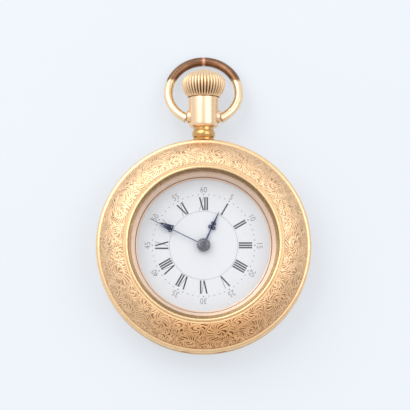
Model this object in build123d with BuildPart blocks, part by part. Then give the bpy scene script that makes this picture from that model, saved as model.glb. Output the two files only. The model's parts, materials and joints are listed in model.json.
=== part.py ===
from build123d import *
from math import asin, cos, degrees, radians, sin, sqrt
import os

# Half hunter pocket watch lying on its back: dial up (+Z), pendant toward +Y, three o'clock toward +X.
# The origin is the centre of the flat on the back. All lengths are millimetres.

# Case: overall sizes, clearances
case_r = 20.0
stem_z = 4.7
band_height = 2.2
front_seat_z = stem_z + band_height / 2
back_seat_z = stem_z - band_height / 2
rim_height = 1.0
rim_straight = 0.45
rim_land = 0.8
shell_wall = 0.45
lip_depth = 0.35
lip_wall = 0.35
snap_gap = 0.1
cover_gap = 0.02
seat_gap = 0.01
running_gap = 0.03
overrun = 1.0

# Case band: wall, milled edge, ledge that carries the movement
band_r = case_r - 0.25 * rim_height
band_wall = 1.45
band_bore_r = band_r - band_wall
mill_depth = 0.15
mill_margin = 0.35
mill_count = 90
ledge_t = 0.8
ledge_step = 0.45
ledge_step_w = 0.7
ledge_step_r = band_bore_r - ledge_step_w
lip_r = band_bore_r - snap_gap

# Main plate, bridges and the space between them
plate_r = 14.8
plate_fit = 0.12
plate_flange_r = 15.4
plate_flange_t = 0.3
plate_above_stem = 0.4
plate_t = 1.3
train_space = 1.8
bridge_t = 1.1
bridge_r = 14.4
plate_z = stem_z + plate_above_stem
plate_top_z = plate_z + plate_t
bridge_z = plate_z - train_space
bridge_outer_z = bridge_z - bridge_t
ledge_bore_r = plate_r + plate_fit

# Dial and hands
dial_r = 14.3
dial_t = 0.6
dial_gap = 0.2
dial_hole_r = 0.95
dial_z = plate_top_z + dial_gap
dial_top_z = dial_z + dial_t
dial_foot_r = 0.35
dial_foot_ring_r = 13.0
dial_foot_length = 1.4
dial_foot_angles = (25, 155, 270)
hand_t = 0.2
hand_lift = 0.3
hand_gap = 0.3
hour_hand_z = dial_top_z + hand_lift
minute_hand_z = hour_hand_z + hand_t + hand_gap
hour_hand_reach = 6.8
minute_hand_reach = 11.2
hour_angle = 24.8
minute_angle = 296.2

# Inner bezel and its crystal
inner_bezel_foot_r = 16.3
inner_bezel_foot_h = 0.7
inner_bezel_top_r = 14.3
inner_bezel_top_z = 9.5
inner_window_r = 12.45
inner_window_z = dial_top_z + dial_gap
inner_slope_r = 13.55
inner_crystal_r = 13.8
inner_crystal_t = 0.35
inner_crystal_z = 8.95
dial_side_gap = 0.3

# Front cover: engraved annulus, window bezel and glass
window_r = 14.5
window_edge = 0.3
crest_z = 10.65
crest_out_share = 0.6
crest_up_share = 0.7
cover_wall = 0.5
bead_r = 0.2
bezel_bore_r = 13.6
bezel_step = 0.15
bezel_step_count = 3
bezel_base_z = 9.85
bezel_top_z = 10.9
glass_r = 13.85
glass_t = 0.42
glass_z = 9.97
glass_dome = 0.15

# Back cover and cuvette: both domes share one centre
back_flat_r = 9.0
dome_start_z = 2.6
cuvette_gap = 0.5
cuvette_wall = 0.25
cuvette_inset = 0.45
cuvette_r = ledge_step_r - cuvette_inset

# Pendant and its sleeve: radii, and stations along Y counted outward from the case
pendant_foot_width = 3.6
pendant_foot_depth = 0.8
pendant_tenon_r = 1.0
pendant_tenon_depth = 1.4
neck_r = 1.85
neck_foot_h = 0.5
neck_bead_r = 2.1
neck_bead_h = 1.3
neck_rise = 0.55
step_r = 2.35
step_h = 0.55
tube_r = 2.75
tube_h = 5.2
collar_r = 2.82
collar_h = 0.6
sleeve_r = 1.6
sleeve_seat_t = 0.3
boss_r = 1.2
boss_reach = 0.65
bow_pivot_rise = 1.5
pendant_foot_y = case_r - pendant_foot_depth
pendant_tenon_y = case_r - pendant_tenon_depth
pendant_base_y = case_r + seat_gap
neck_bead_low_y = case_r + neck_foot_h
neck_bead_high_y = neck_bead_low_y + neck_bead_h
neck_top_y = neck_bead_high_y + neck_rise
tube_y = neck_top_y + step_h
sleeve_y = tube_y - sleeve_seat_t
bow_pivot_y = tube_y + bow_pivot_rise
pendant_top_y = tube_y + tube_h

# Stem and crown: the inner stations of the stem belong to the movement, the outer ones to the pendant
stem_r = 0.55
stem_bore_r = 0.62
stem_square = 0.76
stem_pilot_r = 0.3
stem_pilot_y = 7.3
stem_square_y = 9.1
stem_round_y = 11.4
stem_groove_y = 13.35
stem_groove_w = 0.6
stem_groove_r = 0.35
crown_gap = 0.05
crown_h = 5.25
crown_hold = 2.05
crown_max_r = 4.08
crown_rib_count = 40
crown_rib_depth = 0.24
crown_recess_r = 2.95
crown_recess_h = 0.8
crown_y = pendant_top_y + crown_gap
stem_top_y = crown_y + crown_hold

# Bow: an oval of two half ellipses that meet at the widest place, lying back on the table
bow_wire = 1.7
bow_half_width = 6.6
bow_widest = 4.97
bow_upper = 6.74
bow_lower = 6.0
bow_rest_gap = 0.05
bow_pin_r = 0.5
bow_pin_depth = 1.1
bow_pivot_x = tube_r + boss_reach
bow_rest_tilt = degrees(asin((stem_z - bow_wire / 2 - bow_rest_gap) / (bow_widest + bow_upper)))

# Hinges at six o'clock: a three-knuckle tube for the front cover and one for the back cover
hinge_y = -(case_r - 0.4 * rim_height)
hinge_tube_r = 0.5
hinge_pin_r = 0.22
hinge_half_length = 4.0
knuckle_half_length = 1.7
knuckle_gap = 0.06
hinge_relief = 0.14
hinge_relief_r = hinge_tube_r + hinge_relief


def polar(radius, angle):
    """The point at this radius and angle, counter-clockwise from +X."""
    return (radius * cos(radians(angle)), radius * sin(radians(angle)))


def from_point(point, distance, angle):
    """The point at this distance and angle from another."""
    return (point[0] + distance * cos(radians(angle)), point[1] + distance * sin(radians(angle)))


def finish(piece, name):
    """Label a finished piece and write it as its own node."""
    piece.part.label = name
    export_step(piece.part, f"parts/{name}.step")


os.makedirs("parts", exist_ok=True)

# Planes and axes shared by the pieces. Profiles of the case are drawn as (radius, height) on the XZ plane
stem_plane = Plane(origin=(0, 0, stem_z), x_dir=(1, 0, 0), z_dir=(0, 0, 1))
stem_axis = Axis((0, 0, stem_z), (0, 1, 0))


def across_plane(x, y, z):
    """A plane that looks along +X at this place."""
    return Plane(origin=(x, y, z), x_dir=(0, 1, 0), z_dir=(1, 0, 0))


def stem_section(y):
    """A plane square to the stem at this station, looking along +Y."""
    return Plane(origin=(0, y, stem_z), x_dir=(-1, 0, 0), z_dir=(0, 1, 0))


# Case band: a ring with a milled edge, an inward ledge for the movement and the outer hinge knuckles
with BuildPart() as case_band:
    with BuildSketch(Plane.XZ):
        with BuildLine():
            Polyline(
                (band_bore_r, back_seat_z),
                (band_r, back_seat_z),
                (band_r, back_seat_z + mill_margin),
                (band_r - mill_depth, back_seat_z + mill_margin),
                (band_r - mill_depth, front_seat_z - mill_margin),
                (band_r, front_seat_z - mill_margin),
                (band_r, front_seat_z),
                (band_bore_r, front_seat_z),
                (band_bore_r, front_seat_z - ledge_step),
                (ledge_step_r, front_seat_z - ledge_step),
                (ledge_step_r, front_seat_z),
                (ledge_bore_r, front_seat_z),
                (ledge_bore_r, front_seat_z - ledge_t),
                (band_bore_r, front_seat_z - ledge_t),
                close=True,
            )
        make_face()
    revolve(axis=Axis.Z)
    # the milled edge is a zigzag ring that fills the groove of the band
    mill_pitch = 360 / mill_count
    mill_points = []
    for i in range(mill_count):
        mill_points.append(polar(band_r, i * mill_pitch))
        mill_points.append(polar(band_r - mill_depth, (i + 0.5) * mill_pitch))
    with BuildSketch(Plane.XY.offset(back_seat_z + mill_margin)):
        with BuildLine():
            Polyline(*mill_points, close=True)
        make_face()
        Circle(band_r - 2 * mill_depth, mode=Mode.SUBTRACT)
    extrude(amount=band_height - 2 * mill_margin)
    # room at six o'clock for the covers' knuckles, then the band's own knuckles
    for hinge_z in (front_seat_z, back_seat_z):
        with BuildSketch(across_plane(-knuckle_half_length - knuckle_gap, hinge_y, hinge_z)):
            Circle(hinge_relief_r)
        extrude(amount=2 * (knuckle_half_length + knuckle_gap), mode=Mode.SUBTRACT)
        for side_x in (-hinge_half_length, knuckle_half_length + knuckle_gap):
            with BuildSketch(across_plane(side_x, hinge_y, hinge_z)):
                Circle(hinge_tube_r)
            extrude(amount=hinge_half_length - knuckle_half_length - knuckle_gap)
        with BuildSketch(across_plane(-hinge_half_length, hinge_y, hinge_z)):
            Circle(hinge_pin_r + seat_gap)
        extrude(amount=2 * hinge_half_length, mode=Mode.SUBTRACT)
    # the stem's way through the wall and the ledge, and the pocket of the pendant's foot
    with BuildSketch(stem_section(ledge_bore_r - overrun)):
        Circle(pendant_tenon_r + seat_gap)
    extrude(amount=case_r, mode=Mode.SUBTRACT)
    with BuildSketch(stem_section(pendant_foot_y - seat_gap)):
        Rectangle(pendant_foot_width + 2 * seat_gap, band_height - 2 * shell_wall)
    extrude(amount=case_r, mode=Mode.SUBTRACT)
finish(case_band, "case_band")


def hinge_knuckle(hinge_z, web_low_z, web_high_z):
    """A cover's middle knuckle with the web that joins it to the rim, bored for the running pin."""
    with BuildPart() as knuckle:
        with BuildSketch(across_plane(-knuckle_half_length, hinge_y, hinge_z)):
            Circle(hinge_tube_r)
        extrude(amount=2 * knuckle_half_length)
        with BuildSketch(Plane.XY.offset(web_low_z)):
            with Locations((0, hinge_y + hinge_relief_r)):
                Rectangle(2 * knuckle_half_length, 2 * hinge_relief_r)
        extrude(amount=web_high_z - web_low_z)
        with BuildSketch(across_plane(-hinge_half_length, hinge_y, hinge_z)):
            Circle(hinge_pin_r + running_gap)
        extrude(amount=2 * hinge_half_length, mode=Mode.SUBTRACT)
    return knuckle.part


# Front cover: plain rim, convex annulus for the engraving, and a snap lip inside the band
front_base_z = front_seat_z + cover_gap
rim_top_z = front_base_z + rim_height
land_r = case_r - rim_land
crest_r = window_r + window_edge
crest_bulge_r = crest_r + crest_out_share * (land_r - crest_r)
crest_bulge_z = rim_top_z + crest_up_share * (crest_z - rim_top_z)
with BuildPart() as front_cover:
    with BuildSketch(Plane.XZ):
        with BuildLine():
            Polyline(
                (lip_r, front_seat_z - lip_depth),
                (lip_r, front_base_z),
                (case_r, front_base_z),
                (case_r, front_base_z + rim_straight),
            )
            ThreePointArc(
                (case_r, front_base_z + rim_straight),
                (case_r - 0.25 * rim_land, front_base_z + 0.85 * rim_height),
                (land_r, rim_top_z),
            )
            ThreePointArc(
                (land_r, rim_top_z),
                (crest_bulge_r, crest_bulge_z),
                (crest_r, crest_z),
            )
            Polyline(
                (crest_r, crest_z),
                (window_r, crest_z - 0.2 * window_edge),
                (window_r, crest_z - cover_wall),
                (crest_r, crest_z - cover_wall),
            )
            ThreePointArc(
                (crest_r, crest_z - cover_wall),
                (crest_bulge_r - 0.7 * cover_wall, crest_bulge_z - 0.75 * cover_wall),
                (land_r - 1.15 * cover_wall, rim_top_z + 0.2 * cover_wall),
            )
            Polyline(
                (land_r - 1.15 * cover_wall, rim_top_z + 0.2 * cover_wall),
                (lip_r - lip_wall, front_base_z + 0.45 * rim_height),
                (lip_r - lip_wall, front_seat_z - lip_depth),
                (lip_r, front_seat_z - lip_depth),
            )
        make_face()
    revolve(axis=Axis.Z)
    # the rim is cut back behind the hinge tube
    with BuildSketch(Plane.XY.offset(front_seat_z - overrun)):
        with Locations((0, hinge_y + hinge_relief_r - case_r)):
            Rectangle(2 * (hinge_half_length + knuckle_gap), 2 * case_r)
    extrude(amount=overrun + hinge_relief_r, mode=Mode.SUBTRACT)
    add(hinge_knuckle(front_seat_z, front_base_z, front_base_z + 0.8 * hinge_relief_r))
finish(front_cover, "front_cover")

# Window bezel: a bead and fine steps round the glass, pressed into the front cover
with BuildPart() as window_bezel:
    bezel_r = window_r - seat_gap
    bead_top_z = bezel_top_z + bead_r
    with BuildSketch(Plane.XZ):
        with BuildLine():
            Line((bezel_r, bezel_base_z), (bezel_r, bezel_top_z))
            ThreePointArc(
                (bezel_r, bezel_top_z),
                (bezel_r - bead_r, bead_top_z),
                (bezel_r - 2 * bead_r, bezel_top_z),
            )
            step_points = [(bezel_r - 2 * bead_r, bezel_top_z)]
            step_w = (bezel_r - 2 * bead_r - bezel_bore_r) / bezel_step_count
            for i in range(bezel_step_count):
                step_points.append((step_points[-1][0], step_points[-1][1] - bezel_step))
                step_points.append((step_points[-1][0] - step_w, step_points[-1][1]))
            step_points.append((bezel_bore_r, glass_z + glass_t))
            step_points.append((glass_r + seat_gap, glass_z + glass_t))
            step_points.append((glass_r + seat_gap, glass_z - seat_gap))
            step_points.append((bezel_bore_r, glass_z - seat_gap))
            step_points.append((bezel_bore_r, bezel_base_z))
            step_points.append((bezel_r, bezel_base_z))
            Polyline(*step_points)
        make_face()
    revolve(axis=Axis.Z)
finish(window_bezel, "window_bezel")

# Window glass: flat below, slightly domed above
with BuildPart() as window_glass:
    with BuildSketch(Plane.XZ):
        with BuildLine():
            Polyline(
                (0, glass_z + glass_t + glass_dome - seat_gap),
                (0, glass_z),
                (glass_r, glass_z),
                (glass_r, glass_z + glass_t - seat_gap),
                (bezel_bore_r - seat_gap, glass_z + glass_t - seat_gap),
            )
            TangentArc(
                (0, glass_z + glass_t + glass_dome - seat_gap),
                (bezel_bore_r - seat_gap, glass_z + glass_t - seat_gap),
                tangent=(1, 0),
            )
        make_face()
    revolve(axis=Axis.Z)
finish(window_glass, "window_glass")

# Back cover: a dome tangent to the flat it rests on, a plain rim and a snap lip
back_base_z = back_seat_z - cover_gap
dome_run = land_r - back_flat_r
dome_radius = (dome_run**2 + dome_start_z**2) / (2 * dome_start_z)


def dome_point(radius, depth):
    """The point of a dome this deep inside the back cover's outer dome, at this radius."""
    return (radius, dome_radius - sqrt((dome_radius - depth) ** 2 - (radius - back_flat_r) ** 2))


with BuildPart() as back_cover:
    inner_end = dome_point(land_r - 0.5 * shell_wall, shell_wall)
    with BuildSketch(Plane.XZ):
        with BuildLine():
            Polyline((0, shell_wall), (0, 0), (back_flat_r, 0))
            TangentArc((back_flat_r, 0), (land_r, dome_start_z), tangent=(1, 0))
            ThreePointArc(
                (land_r, dome_start_z),
                (case_r - 0.25 * rim_land, back_base_z - 0.85 * rim_height),
                (case_r, back_base_z - rim_straight),
            )
            Polyline(
                (case_r, back_base_z - rim_straight),
                (case_r, back_base_z),
                (lip_r, back_base_z),
                (lip_r, back_seat_z + lip_depth),
                (lip_r - lip_wall, back_seat_z + lip_depth),
                (lip_r - lip_wall, back_base_z - 0.1 * rim_height),
                inner_end,
            )
            TangentArc((back_flat_r, shell_wall), inner_end, tangent=(1, 0))
            Line((back_flat_r, shell_wall), (0, shell_wall))
        make_face()
    revolve(axis=Axis.Z)
    with BuildSketch(Plane.XY.offset(back_seat_z - hinge_relief_r)):
        with Locations((0, hinge_y + hinge_relief_r - case_r)):
            Rectangle(2 * (hinge_half_length + knuckle_gap), 2 * case_r)
    extrude(amount=overrun + hinge_relief_r, mode=Mode.SUBTRACT)
    add(hinge_knuckle(back_seat_z, back_base_z - 0.8 * hinge_relief_r, back_base_z))
finish(back_cover, "back_cover")

# Cuvette: the inner dust cover, a shallow cup whose wall snaps under the ledge of the band
with BuildPart() as cuvette:
    outer_depth = shell_wall + cuvette_gap
    inner_depth = outer_depth + cuvette_wall
    wall_top_z = front_seat_z - ledge_t - seat_gap
    outer_end = dome_point(cuvette_r, outer_depth)
    inner_end = dome_point(cuvette_r - cuvette_wall, inner_depth)
    with BuildSketch(Plane.XZ):
        with BuildLine():
            Polyline((0, inner_depth), (0, outer_depth), (back_flat_r, outer_depth))
            TangentArc((back_flat_r, outer_depth), outer_end, tangent=(1, 0))
            Polyline(
                outer_end,
                (cuvette_r, wall_top_z),
                (cuvette_r - cuvette_wall, wall_top_z),
                inner_end,
            )
            TangentArc((back_flat_r, inner_depth), inner_end, tangent=(1, 0))
            Line((back_flat_r, inner_depth), (0, inner_depth))
        make_face()
    revolve(axis=Axis.Z)
    # notch for the stem
    with BuildSketch(Plane.XY.offset(stem_z - stem_r - snap_gap)):
        with Locations((0, cuvette_r)):
            Rectangle(2 * (stem_r + snap_gap), 2 * overrun)
    extrude(amount=band_height, mode=Mode.SUBTRACT)
finish(cuvette, "cuvette")


def hinge_pin(hinge_z):
    """A hinge pin as long as its tube."""
    with BuildPart() as pin:
        with BuildSketch(across_plane(-hinge_half_length, hinge_y, hinge_z)):
            Circle(hinge_pin_r)
        extrude(amount=2 * hinge_half_length)
    return pin


finish(hinge_pin(front_seat_z), "front_hinge_pin")
finish(hinge_pin(back_seat_z), "back_hinge_pin")

# Inner bezel: stands on the ledge, holds the inner crystal and slopes down to the dial
with BuildPart() as inner_bezel:
    bezel_wall_r = dial_r + dial_side_gap
    foot_z = front_seat_z + seat_gap
    flange_clear_z = front_seat_z + plate_flange_t + snap_gap
    bezel_bulge_r = 0.6 * inner_bezel_foot_r + 0.4 * inner_bezel_top_r
    bezel_bulge_z = 0.35 * foot_z + 0.65 * inner_bezel_top_z
    with BuildSketch(Plane.XZ):
        with BuildLine():
            Polyline(
                (plate_flange_r + snap_gap, foot_z),
                (inner_bezel_foot_r, foot_z),
                (inner_bezel_foot_r, foot_z + inner_bezel_foot_h),
                (inner_bezel_foot_r - 0.5 * inner_bezel_foot_h, foot_z + inner_bezel_foot_h),
            )
            ThreePointArc(
                (inner_bezel_foot_r - 0.5 * inner_bezel_foot_h, foot_z + inner_bezel_foot_h),
                (bezel_bulge_r, bezel_bulge_z),
                (inner_bezel_top_r, inner_bezel_top_z),
            )
            Polyline(
                (inner_bezel_top_r, inner_bezel_top_z),
                (inner_crystal_r + seat_gap, inner_bezel_top_z),
                (inner_crystal_r + seat_gap, inner_crystal_z - seat_gap),
                (inner_slope_r, inner_crystal_z - seat_gap),
                (inner_window_r, inner_window_z + dial_gap),
                (inner_window_r, inner_window_z),
                (bezel_wall_r, inner_window_z),
                (bezel_wall_r, flange_clear_z),
                (plate_flange_r + snap_gap, flange_clear_z),
                (plate_flange_r + snap_gap, foot_z),
            )
        make_face()
    revolve(axis=Axis.Z)
finish(inner_bezel, "inner_bezel")

# Inner crystal
with BuildPart() as inner_crystal:
    with BuildSketch(Plane.XY.offset(inner_crystal_z)):
        Circle(inner_crystal_r)
    extrude(amount=inner_crystal_t)
    chamfer(inner_crystal.edges().group_by(Axis.Z)[-1], length=0.3 * inner_crystal_t)
finish(inner_crystal, "inner_crystal")

# Pendant: a turned tube on a beaded neck, with bosses for the bow and a foot let into the band
with BuildPart() as pendant:
    with BuildSketch(stem_plane):
        with BuildLine():
            Polyline(
                (stem_bore_r, pendant_tenon_y),
                (pendant_tenon_r, pendant_tenon_y),
                (pendant_tenon_r, pendant_base_y),
                (neck_r, pendant_base_y),
                (neck_r, neck_bead_low_y),
            )
            ThreePointArc(
                (neck_r, neck_bead_low_y),
                (neck_bead_r, (neck_bead_low_y + neck_bead_high_y) / 2),
                (neck_r, neck_bead_high_y),
            )
            Polyline(
                (neck_r, neck_bead_high_y),
                (neck_r, neck_top_y),
                (step_r, neck_top_y),
                (step_r, tube_y),
                (tube_r, tube_y),
                (tube_r, pendant_top_y - collar_h),
                (collar_r, pendant_top_y - collar_h),
                (collar_r, pendant_top_y),
                (sleeve_r, pendant_top_y),
                (sleeve_r, sleeve_y),
                (stem_bore_r, sleeve_y),
                (stem_bore_r, pendant_tenon_y),
            )
        make_face()
    revolve(axis=stem_axis)
    foot_low_z = stem_z - band_height / 2 + shell_wall + seat_gap
    with BuildSketch(Plane.XY.offset(foot_low_z)):
        with Locations((0, (pendant_foot_y + neck_bead_low_y) / 2)):
            Rectangle(pendant_foot_width, neck_bead_low_y - pendant_foot_y)
    extrude(amount=2 * (stem_z - foot_low_z))
    for side in (-1, 1):
        boss_x = side * (sleeve_r + tube_r) / 2
        with BuildSketch(across_plane(boss_x, bow_pivot_y, stem_z)):
            Circle(boss_r)
        extrude(amount=side * (bow_pivot_x - abs(boss_x)))
    for side in (-1, 1):
        with BuildSketch(across_plane(side * bow_pivot_x, bow_pivot_y, stem_z)):
            Circle(bow_pin_r + running_gap)
        extrude(amount=-side * (bow_pin_depth + snap_gap), mode=Mode.SUBTRACT)
    with BuildSketch(stem_section(pendant_tenon_y)):
        Circle(stem_bore_r)
    extrude(amount=sleeve_y - pendant_tenon_y, mode=Mode.SUBTRACT)
finish(pendant, "pendant")

# Pendant sleeve: the collet in the pendant that guides the stem
with BuildPart() as pendant_sleeve:
    with BuildSketch(stem_section(sleeve_y + seat_gap)):
        Circle(sleeve_r - seat_gap)
        Circle(stem_bore_r, mode=Mode.SUBTRACT)
    extrude(amount=pendant_top_y - sleeve_y - 2 * seat_gap)
finish(pendant_sleeve, "pendant_sleeve")

# Bow: drawn on the plane it rests in, with ball ends and pins in the pendant's bosses
bow_plane = Plane(origin=(0, bow_pivot_y, stem_z)).rotated((-bow_rest_tilt, 0, 0))
bow_middle = (0, bow_widest)
with BuildPart() as bow:
    end_angle = degrees(asin(bow_widest / bow_lower))
    lower_half = (bow_middle, bow_half_width, bow_lower)
    with BuildLine(bow_plane) as bow_path:
        EllipticalCenterArc(*lower_half, start_angle=-end_angle, arc_size=end_angle)
        EllipticalCenterArc(bow_middle, bow_half_width, bow_upper, start_angle=0, arc_size=180)
        EllipticalCenterArc(*lower_half, start_angle=180, arc_size=end_angle)
    bow_wire_path = bow_path.wires()[0]
    with BuildSketch(Plane(origin=bow_wire_path @ 0, z_dir=bow_wire_path % 0)):
        Circle(bow_wire / 2)
    sweep(path=bow_wire_path)
    for side in (-1, 1):
        bow_end_x = bow_half_width * cos(radians(end_angle))
        with Locations((side * bow_end_x, bow_pivot_y, stem_z)):
            Sphere(bow_wire / 2)
        with BuildSketch(across_plane(side * bow_end_x, bow_pivot_y, stem_z)):
            Circle(bow_pin_r)
        extrude(amount=-side * (bow_end_x - bow_pivot_x + bow_pin_depth))
    # the ends are faced flat beside the bosses
    for side in (-1, 1):
        with BuildSketch(across_plane(side * (bow_pivot_x + running_gap), bow_pivot_y, stem_z)):
            Circle(2 * boss_r)
            Circle(bow_pin_r, mode=Mode.SUBTRACT)
        extrude(amount=-side * overrun, mode=Mode.SUBTRACT)
finish(bow, "bow")

# Crown: an onion shape of ruled ribs that fade toward the smooth top
# the shares of the crown's height, of its greatest radius and of the ribs' depth at each station
crown_shares = (
    (0.0, 0.76, 0.6),
    (0.14, 0.85, 1.0),
    (0.36, 0.97, 1.0),
    (0.56, 1.0, 1.0),
    (0.74, 0.93, 0.7),
    (0.87, 0.76, 0.3),
    (0.955, 0.54, 0.08),
)
with BuildPart() as crown:
    rib_pitch = 360 / crown_rib_count
    for height_share, radius_share, depth_share in crown_shares:
        radius = radius_share * crown_max_r
        ring = []
        for i in range(crown_rib_count):
            ring.append(polar(radius, i * rib_pitch))
            ring.append(polar(radius - depth_share * crown_rib_depth, (i + 0.5) * rib_pitch))
        with BuildSketch(stem_section(crown_y + height_share * crown_h)):
            with BuildLine():
                Polyline(*ring, close=True)
            make_face()
    loft(ruled=True)
    # smooth button on top
    top_share, top_radius_share, _ = crown_shares[-1]
    top_y = crown_y + top_share * crown_h
    button_r = 0.9 * top_radius_share * crown_max_r
    with BuildSketch(stem_plane):
        with BuildLine():
            Polyline(
                (0, crown_y + crown_h),
                (0, top_y - crown_rib_depth),
                (button_r, top_y - crown_rib_depth),
                (button_r, top_y),
            )
            TangentArc((0, crown_y + crown_h), (button_r, top_y), tangent=(1, 0))
        make_face()
    revolve(axis=stem_axis)
    with BuildSketch(stem_section(crown_y)):
        Circle(crown_recess_r)
    extrude(amount=crown_recess_h, mode=Mode.SUBTRACT)
    with BuildSketch(stem_section(crown_y)):
        Circle(stem_r + seat_gap)
    extrude(amount=stem_top_y + seat_gap - crown_y, mode=Mode.SUBTRACT)
finish(crown, "crown")

# Movement: centre distances follow from tooth counts and modules
wheel_root_share = 0.42
wheel_tip_share = 0.16
pinion_root_share = 0.36
pinion_tip_share = 0.18
wheel_addendum_share = 1.0
wheel_dedendum_share = 1.25
pinion_addendum_share = 0.7
pinion_dedendum_share = 1.55
barrel_teeth, centre_pinion_teeth, barrel_module = 72, 12, 0.165
centre_teeth, third_pinion_teeth, centre_module = 64, 8, 0.125
third_teeth, fourth_pinion_teeth, third_module = 60, 8, 0.105
fourth_teeth, escape_pinion_teeth, fourth_module = 70, 7, 0.088
minute_wheel_teeth, cannon_teeth, cannon_module = 36, 12, 0.1
setting_module = 0.1
intermediate_teeth, setting_teeth = 20, 22
hour_teeth, minute_pinion_teeth, hour_module = 40, 10, 0.096
ratchet_teeth, crown_wheel_teeth, ratchet_module = 44, 30, 0.22
contrate_teeth, winding_teeth, winding_module = 28, 14, 0.2
escape_teeth = 15

# Places of the arbors, each from the one before it
barrel_angle = 150
third_angle = 0
fourth_angle = -75
escape_angle = -140
lever_angle = -140
escape_r = 2.4
pallet_distance = escape_r / cos(radians(30))
balance_distance = 3.2
centre_point = (0, 0)
barrel_point = polar(barrel_module * (barrel_teeth + centre_pinion_teeth) / 2, barrel_angle)
third_point = polar(centre_module * (centre_teeth + third_pinion_teeth) / 2, third_angle)
fourth_distance = third_module * (third_teeth + fourth_pinion_teeth) / 2
fourth_point = from_point(third_point, fourth_distance, fourth_angle)
escape_distance = fourth_module * (fourth_teeth + escape_pinion_teeth) / 2
escape_point = from_point(fourth_point, escape_distance, escape_angle)
pallet_point = from_point(escape_point, pallet_distance, lever_angle)
balance_point = from_point(pallet_point, balance_distance, lever_angle)
ratchet_distance = ratchet_module * (ratchet_teeth + crown_wheel_teeth) / 2
crown_wheel_y = barrel_point[1] + sqrt(ratchet_distance**2 - barrel_point[0] ** 2)
crown_wheel_point = (0, crown_wheel_y)
minute_wheel_point = (0, cannon_module * (minute_wheel_teeth + cannon_teeth) / 2)
intermediate_distance = setting_module * (minute_wheel_teeth + intermediate_teeth) / 2
intermediate_point = (0, minute_wheel_point[1] + intermediate_distance)
setting_distance = setting_module * (intermediate_teeth + setting_teeth) / 2
setting_point = (0, intermediate_point[1] + setting_distance)

# Heights of the train, counted from the inner face of the bridges toward the dial
wheel_t = 0.15
arbor_r = 0.2
pivot_r = 0.1
jewel_r = 0.45
jewel_t = 0.35
jewel_hole_r = 0.13
arbor_end_gap = 0.08
centre_wheel_lift = 0.13
third_wheel_lift = 0.8
fourth_wheel_lift = 1.25
escape_wheel_lift = 0.9
centre_wheel_z = bridge_z + centre_wheel_lift
third_wheel_z = bridge_z + third_wheel_lift
fourth_wheel_z = bridge_z + fourth_wheel_lift
escape_wheel_z = bridge_z + escape_wheel_lift


def toothed_points(teeth, module, addendum_share, dedendum_share, root_share, tip_share, phase):
    """Outline of a toothed wheel with straight flanks. One tooth points along the phase angle."""
    pitch = 360 / teeth
    pitch_r = module * teeth / 2
    root_r = pitch_r - dedendum_share * module
    tip_r = pitch_r + addendum_share * module
    points = []
    for i in range(teeth):
        angle = phase + i * pitch
        points.append(polar(root_r, angle - root_share * pitch / 2))
        points.append(polar(tip_r, angle - tip_share * pitch / 2))
        points.append(polar(tip_r, angle + tip_share * pitch / 2))
        points.append(polar(root_r, angle + root_share * pitch / 2))
    return points


def wheel_points(teeth, module, phase):
    """Outline of a driving wheel."""
    shares = (wheel_addendum_share, wheel_dedendum_share, wheel_root_share, wheel_tip_share)
    return toothed_points(teeth, module, *shares, phase)


def pinion_points(leaves, module, phase):
    """Outline of a pinion whose gap, not its leaf, points along the phase angle."""
    shares = (pinion_addendum_share, pinion_dedendum_share, pinion_root_share, pinion_tip_share)
    return toothed_points(leaves, module, *shares, phase + 180 / leaves)


def spoke_window(inner_r, outer_r, spokes, spoke_w, i):
    """Corners of the i-th opening between two spokes."""
    pitch = 360 / spokes
    start, stop = i * pitch, (i + 1) * pitch
    inner_turn = degrees(asin(spoke_w / 2 / inner_r))
    outer_turn = degrees(asin(spoke_w / 2 / outer_r))
    middle = (start + stop) / 2
    quarter = (stop - start - 2 * outer_turn) / 4
    return [
        polar(inner_r, start + inner_turn),
        polar(outer_r, start + outer_turn),
        polar(outer_r, middle - quarter),
        polar(outer_r, middle + quarter),
        polar(outer_r, stop - outer_turn),
        polar(inner_r, stop - inner_turn),
    ]


def outline_plane(point, z):
    """A plane at a place of the movement, square to its arbor."""
    return Plane(origin=(point[0], point[1], z))


def extruded_outline(points, plane, height):
    """A closed outline raised into a solid."""
    with BuildPart() as raised:
        with BuildSketch(plane):
            with BuildLine():
                Polyline(*points, close=True)
            make_face()
        extrude(amount=height)
    return raised.part


def spoked_blank(point, z, teeth, module, phase, hub_r, spokes, spoke_w):
    """The toothed rim of a train wheel with its hub and spokes."""
    root_r = module * teeth / 2 - wheel_dedendum_share * module
    with BuildPart() as blank:
        with BuildSketch(outline_plane(point, z)):
            with BuildLine():
                Polyline(*wheel_points(teeth, module, phase), close=True)
            make_face()
            for i in range(spokes):
                with BuildLine():
                    Polyline(*spoke_window(hub_r, root_r - 1.5 * spoke_w, spokes, spoke_w, i), close=True)
                make_face(mode=Mode.SUBTRACT)
        extrude(amount=wheel_t)
    return blank.part


def cylinder(point, low_z, high_z, radius):
    """A round post or bore of the movement between two heights."""
    with BuildPart() as post:
        with BuildSketch(outline_plane(point, low_z)):
            Circle(radius)
        extrude(amount=high_z - low_z)
    return post.part


def pinion_leaves(point, low_z, high_z, leaves, module, phase):
    """The leaves of a pinion between two heights."""
    outline = pinion_points(leaves, module, phase)
    return extruded_outline(outline, outline_plane(point, low_z), high_z - low_z)


def wheel_disc(point, z, height, teeth, module, phase):
    """A plain toothed disc."""
    return extruded_outline(wheel_points(teeth, module, phase), outline_plane(point, z), height)


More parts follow.
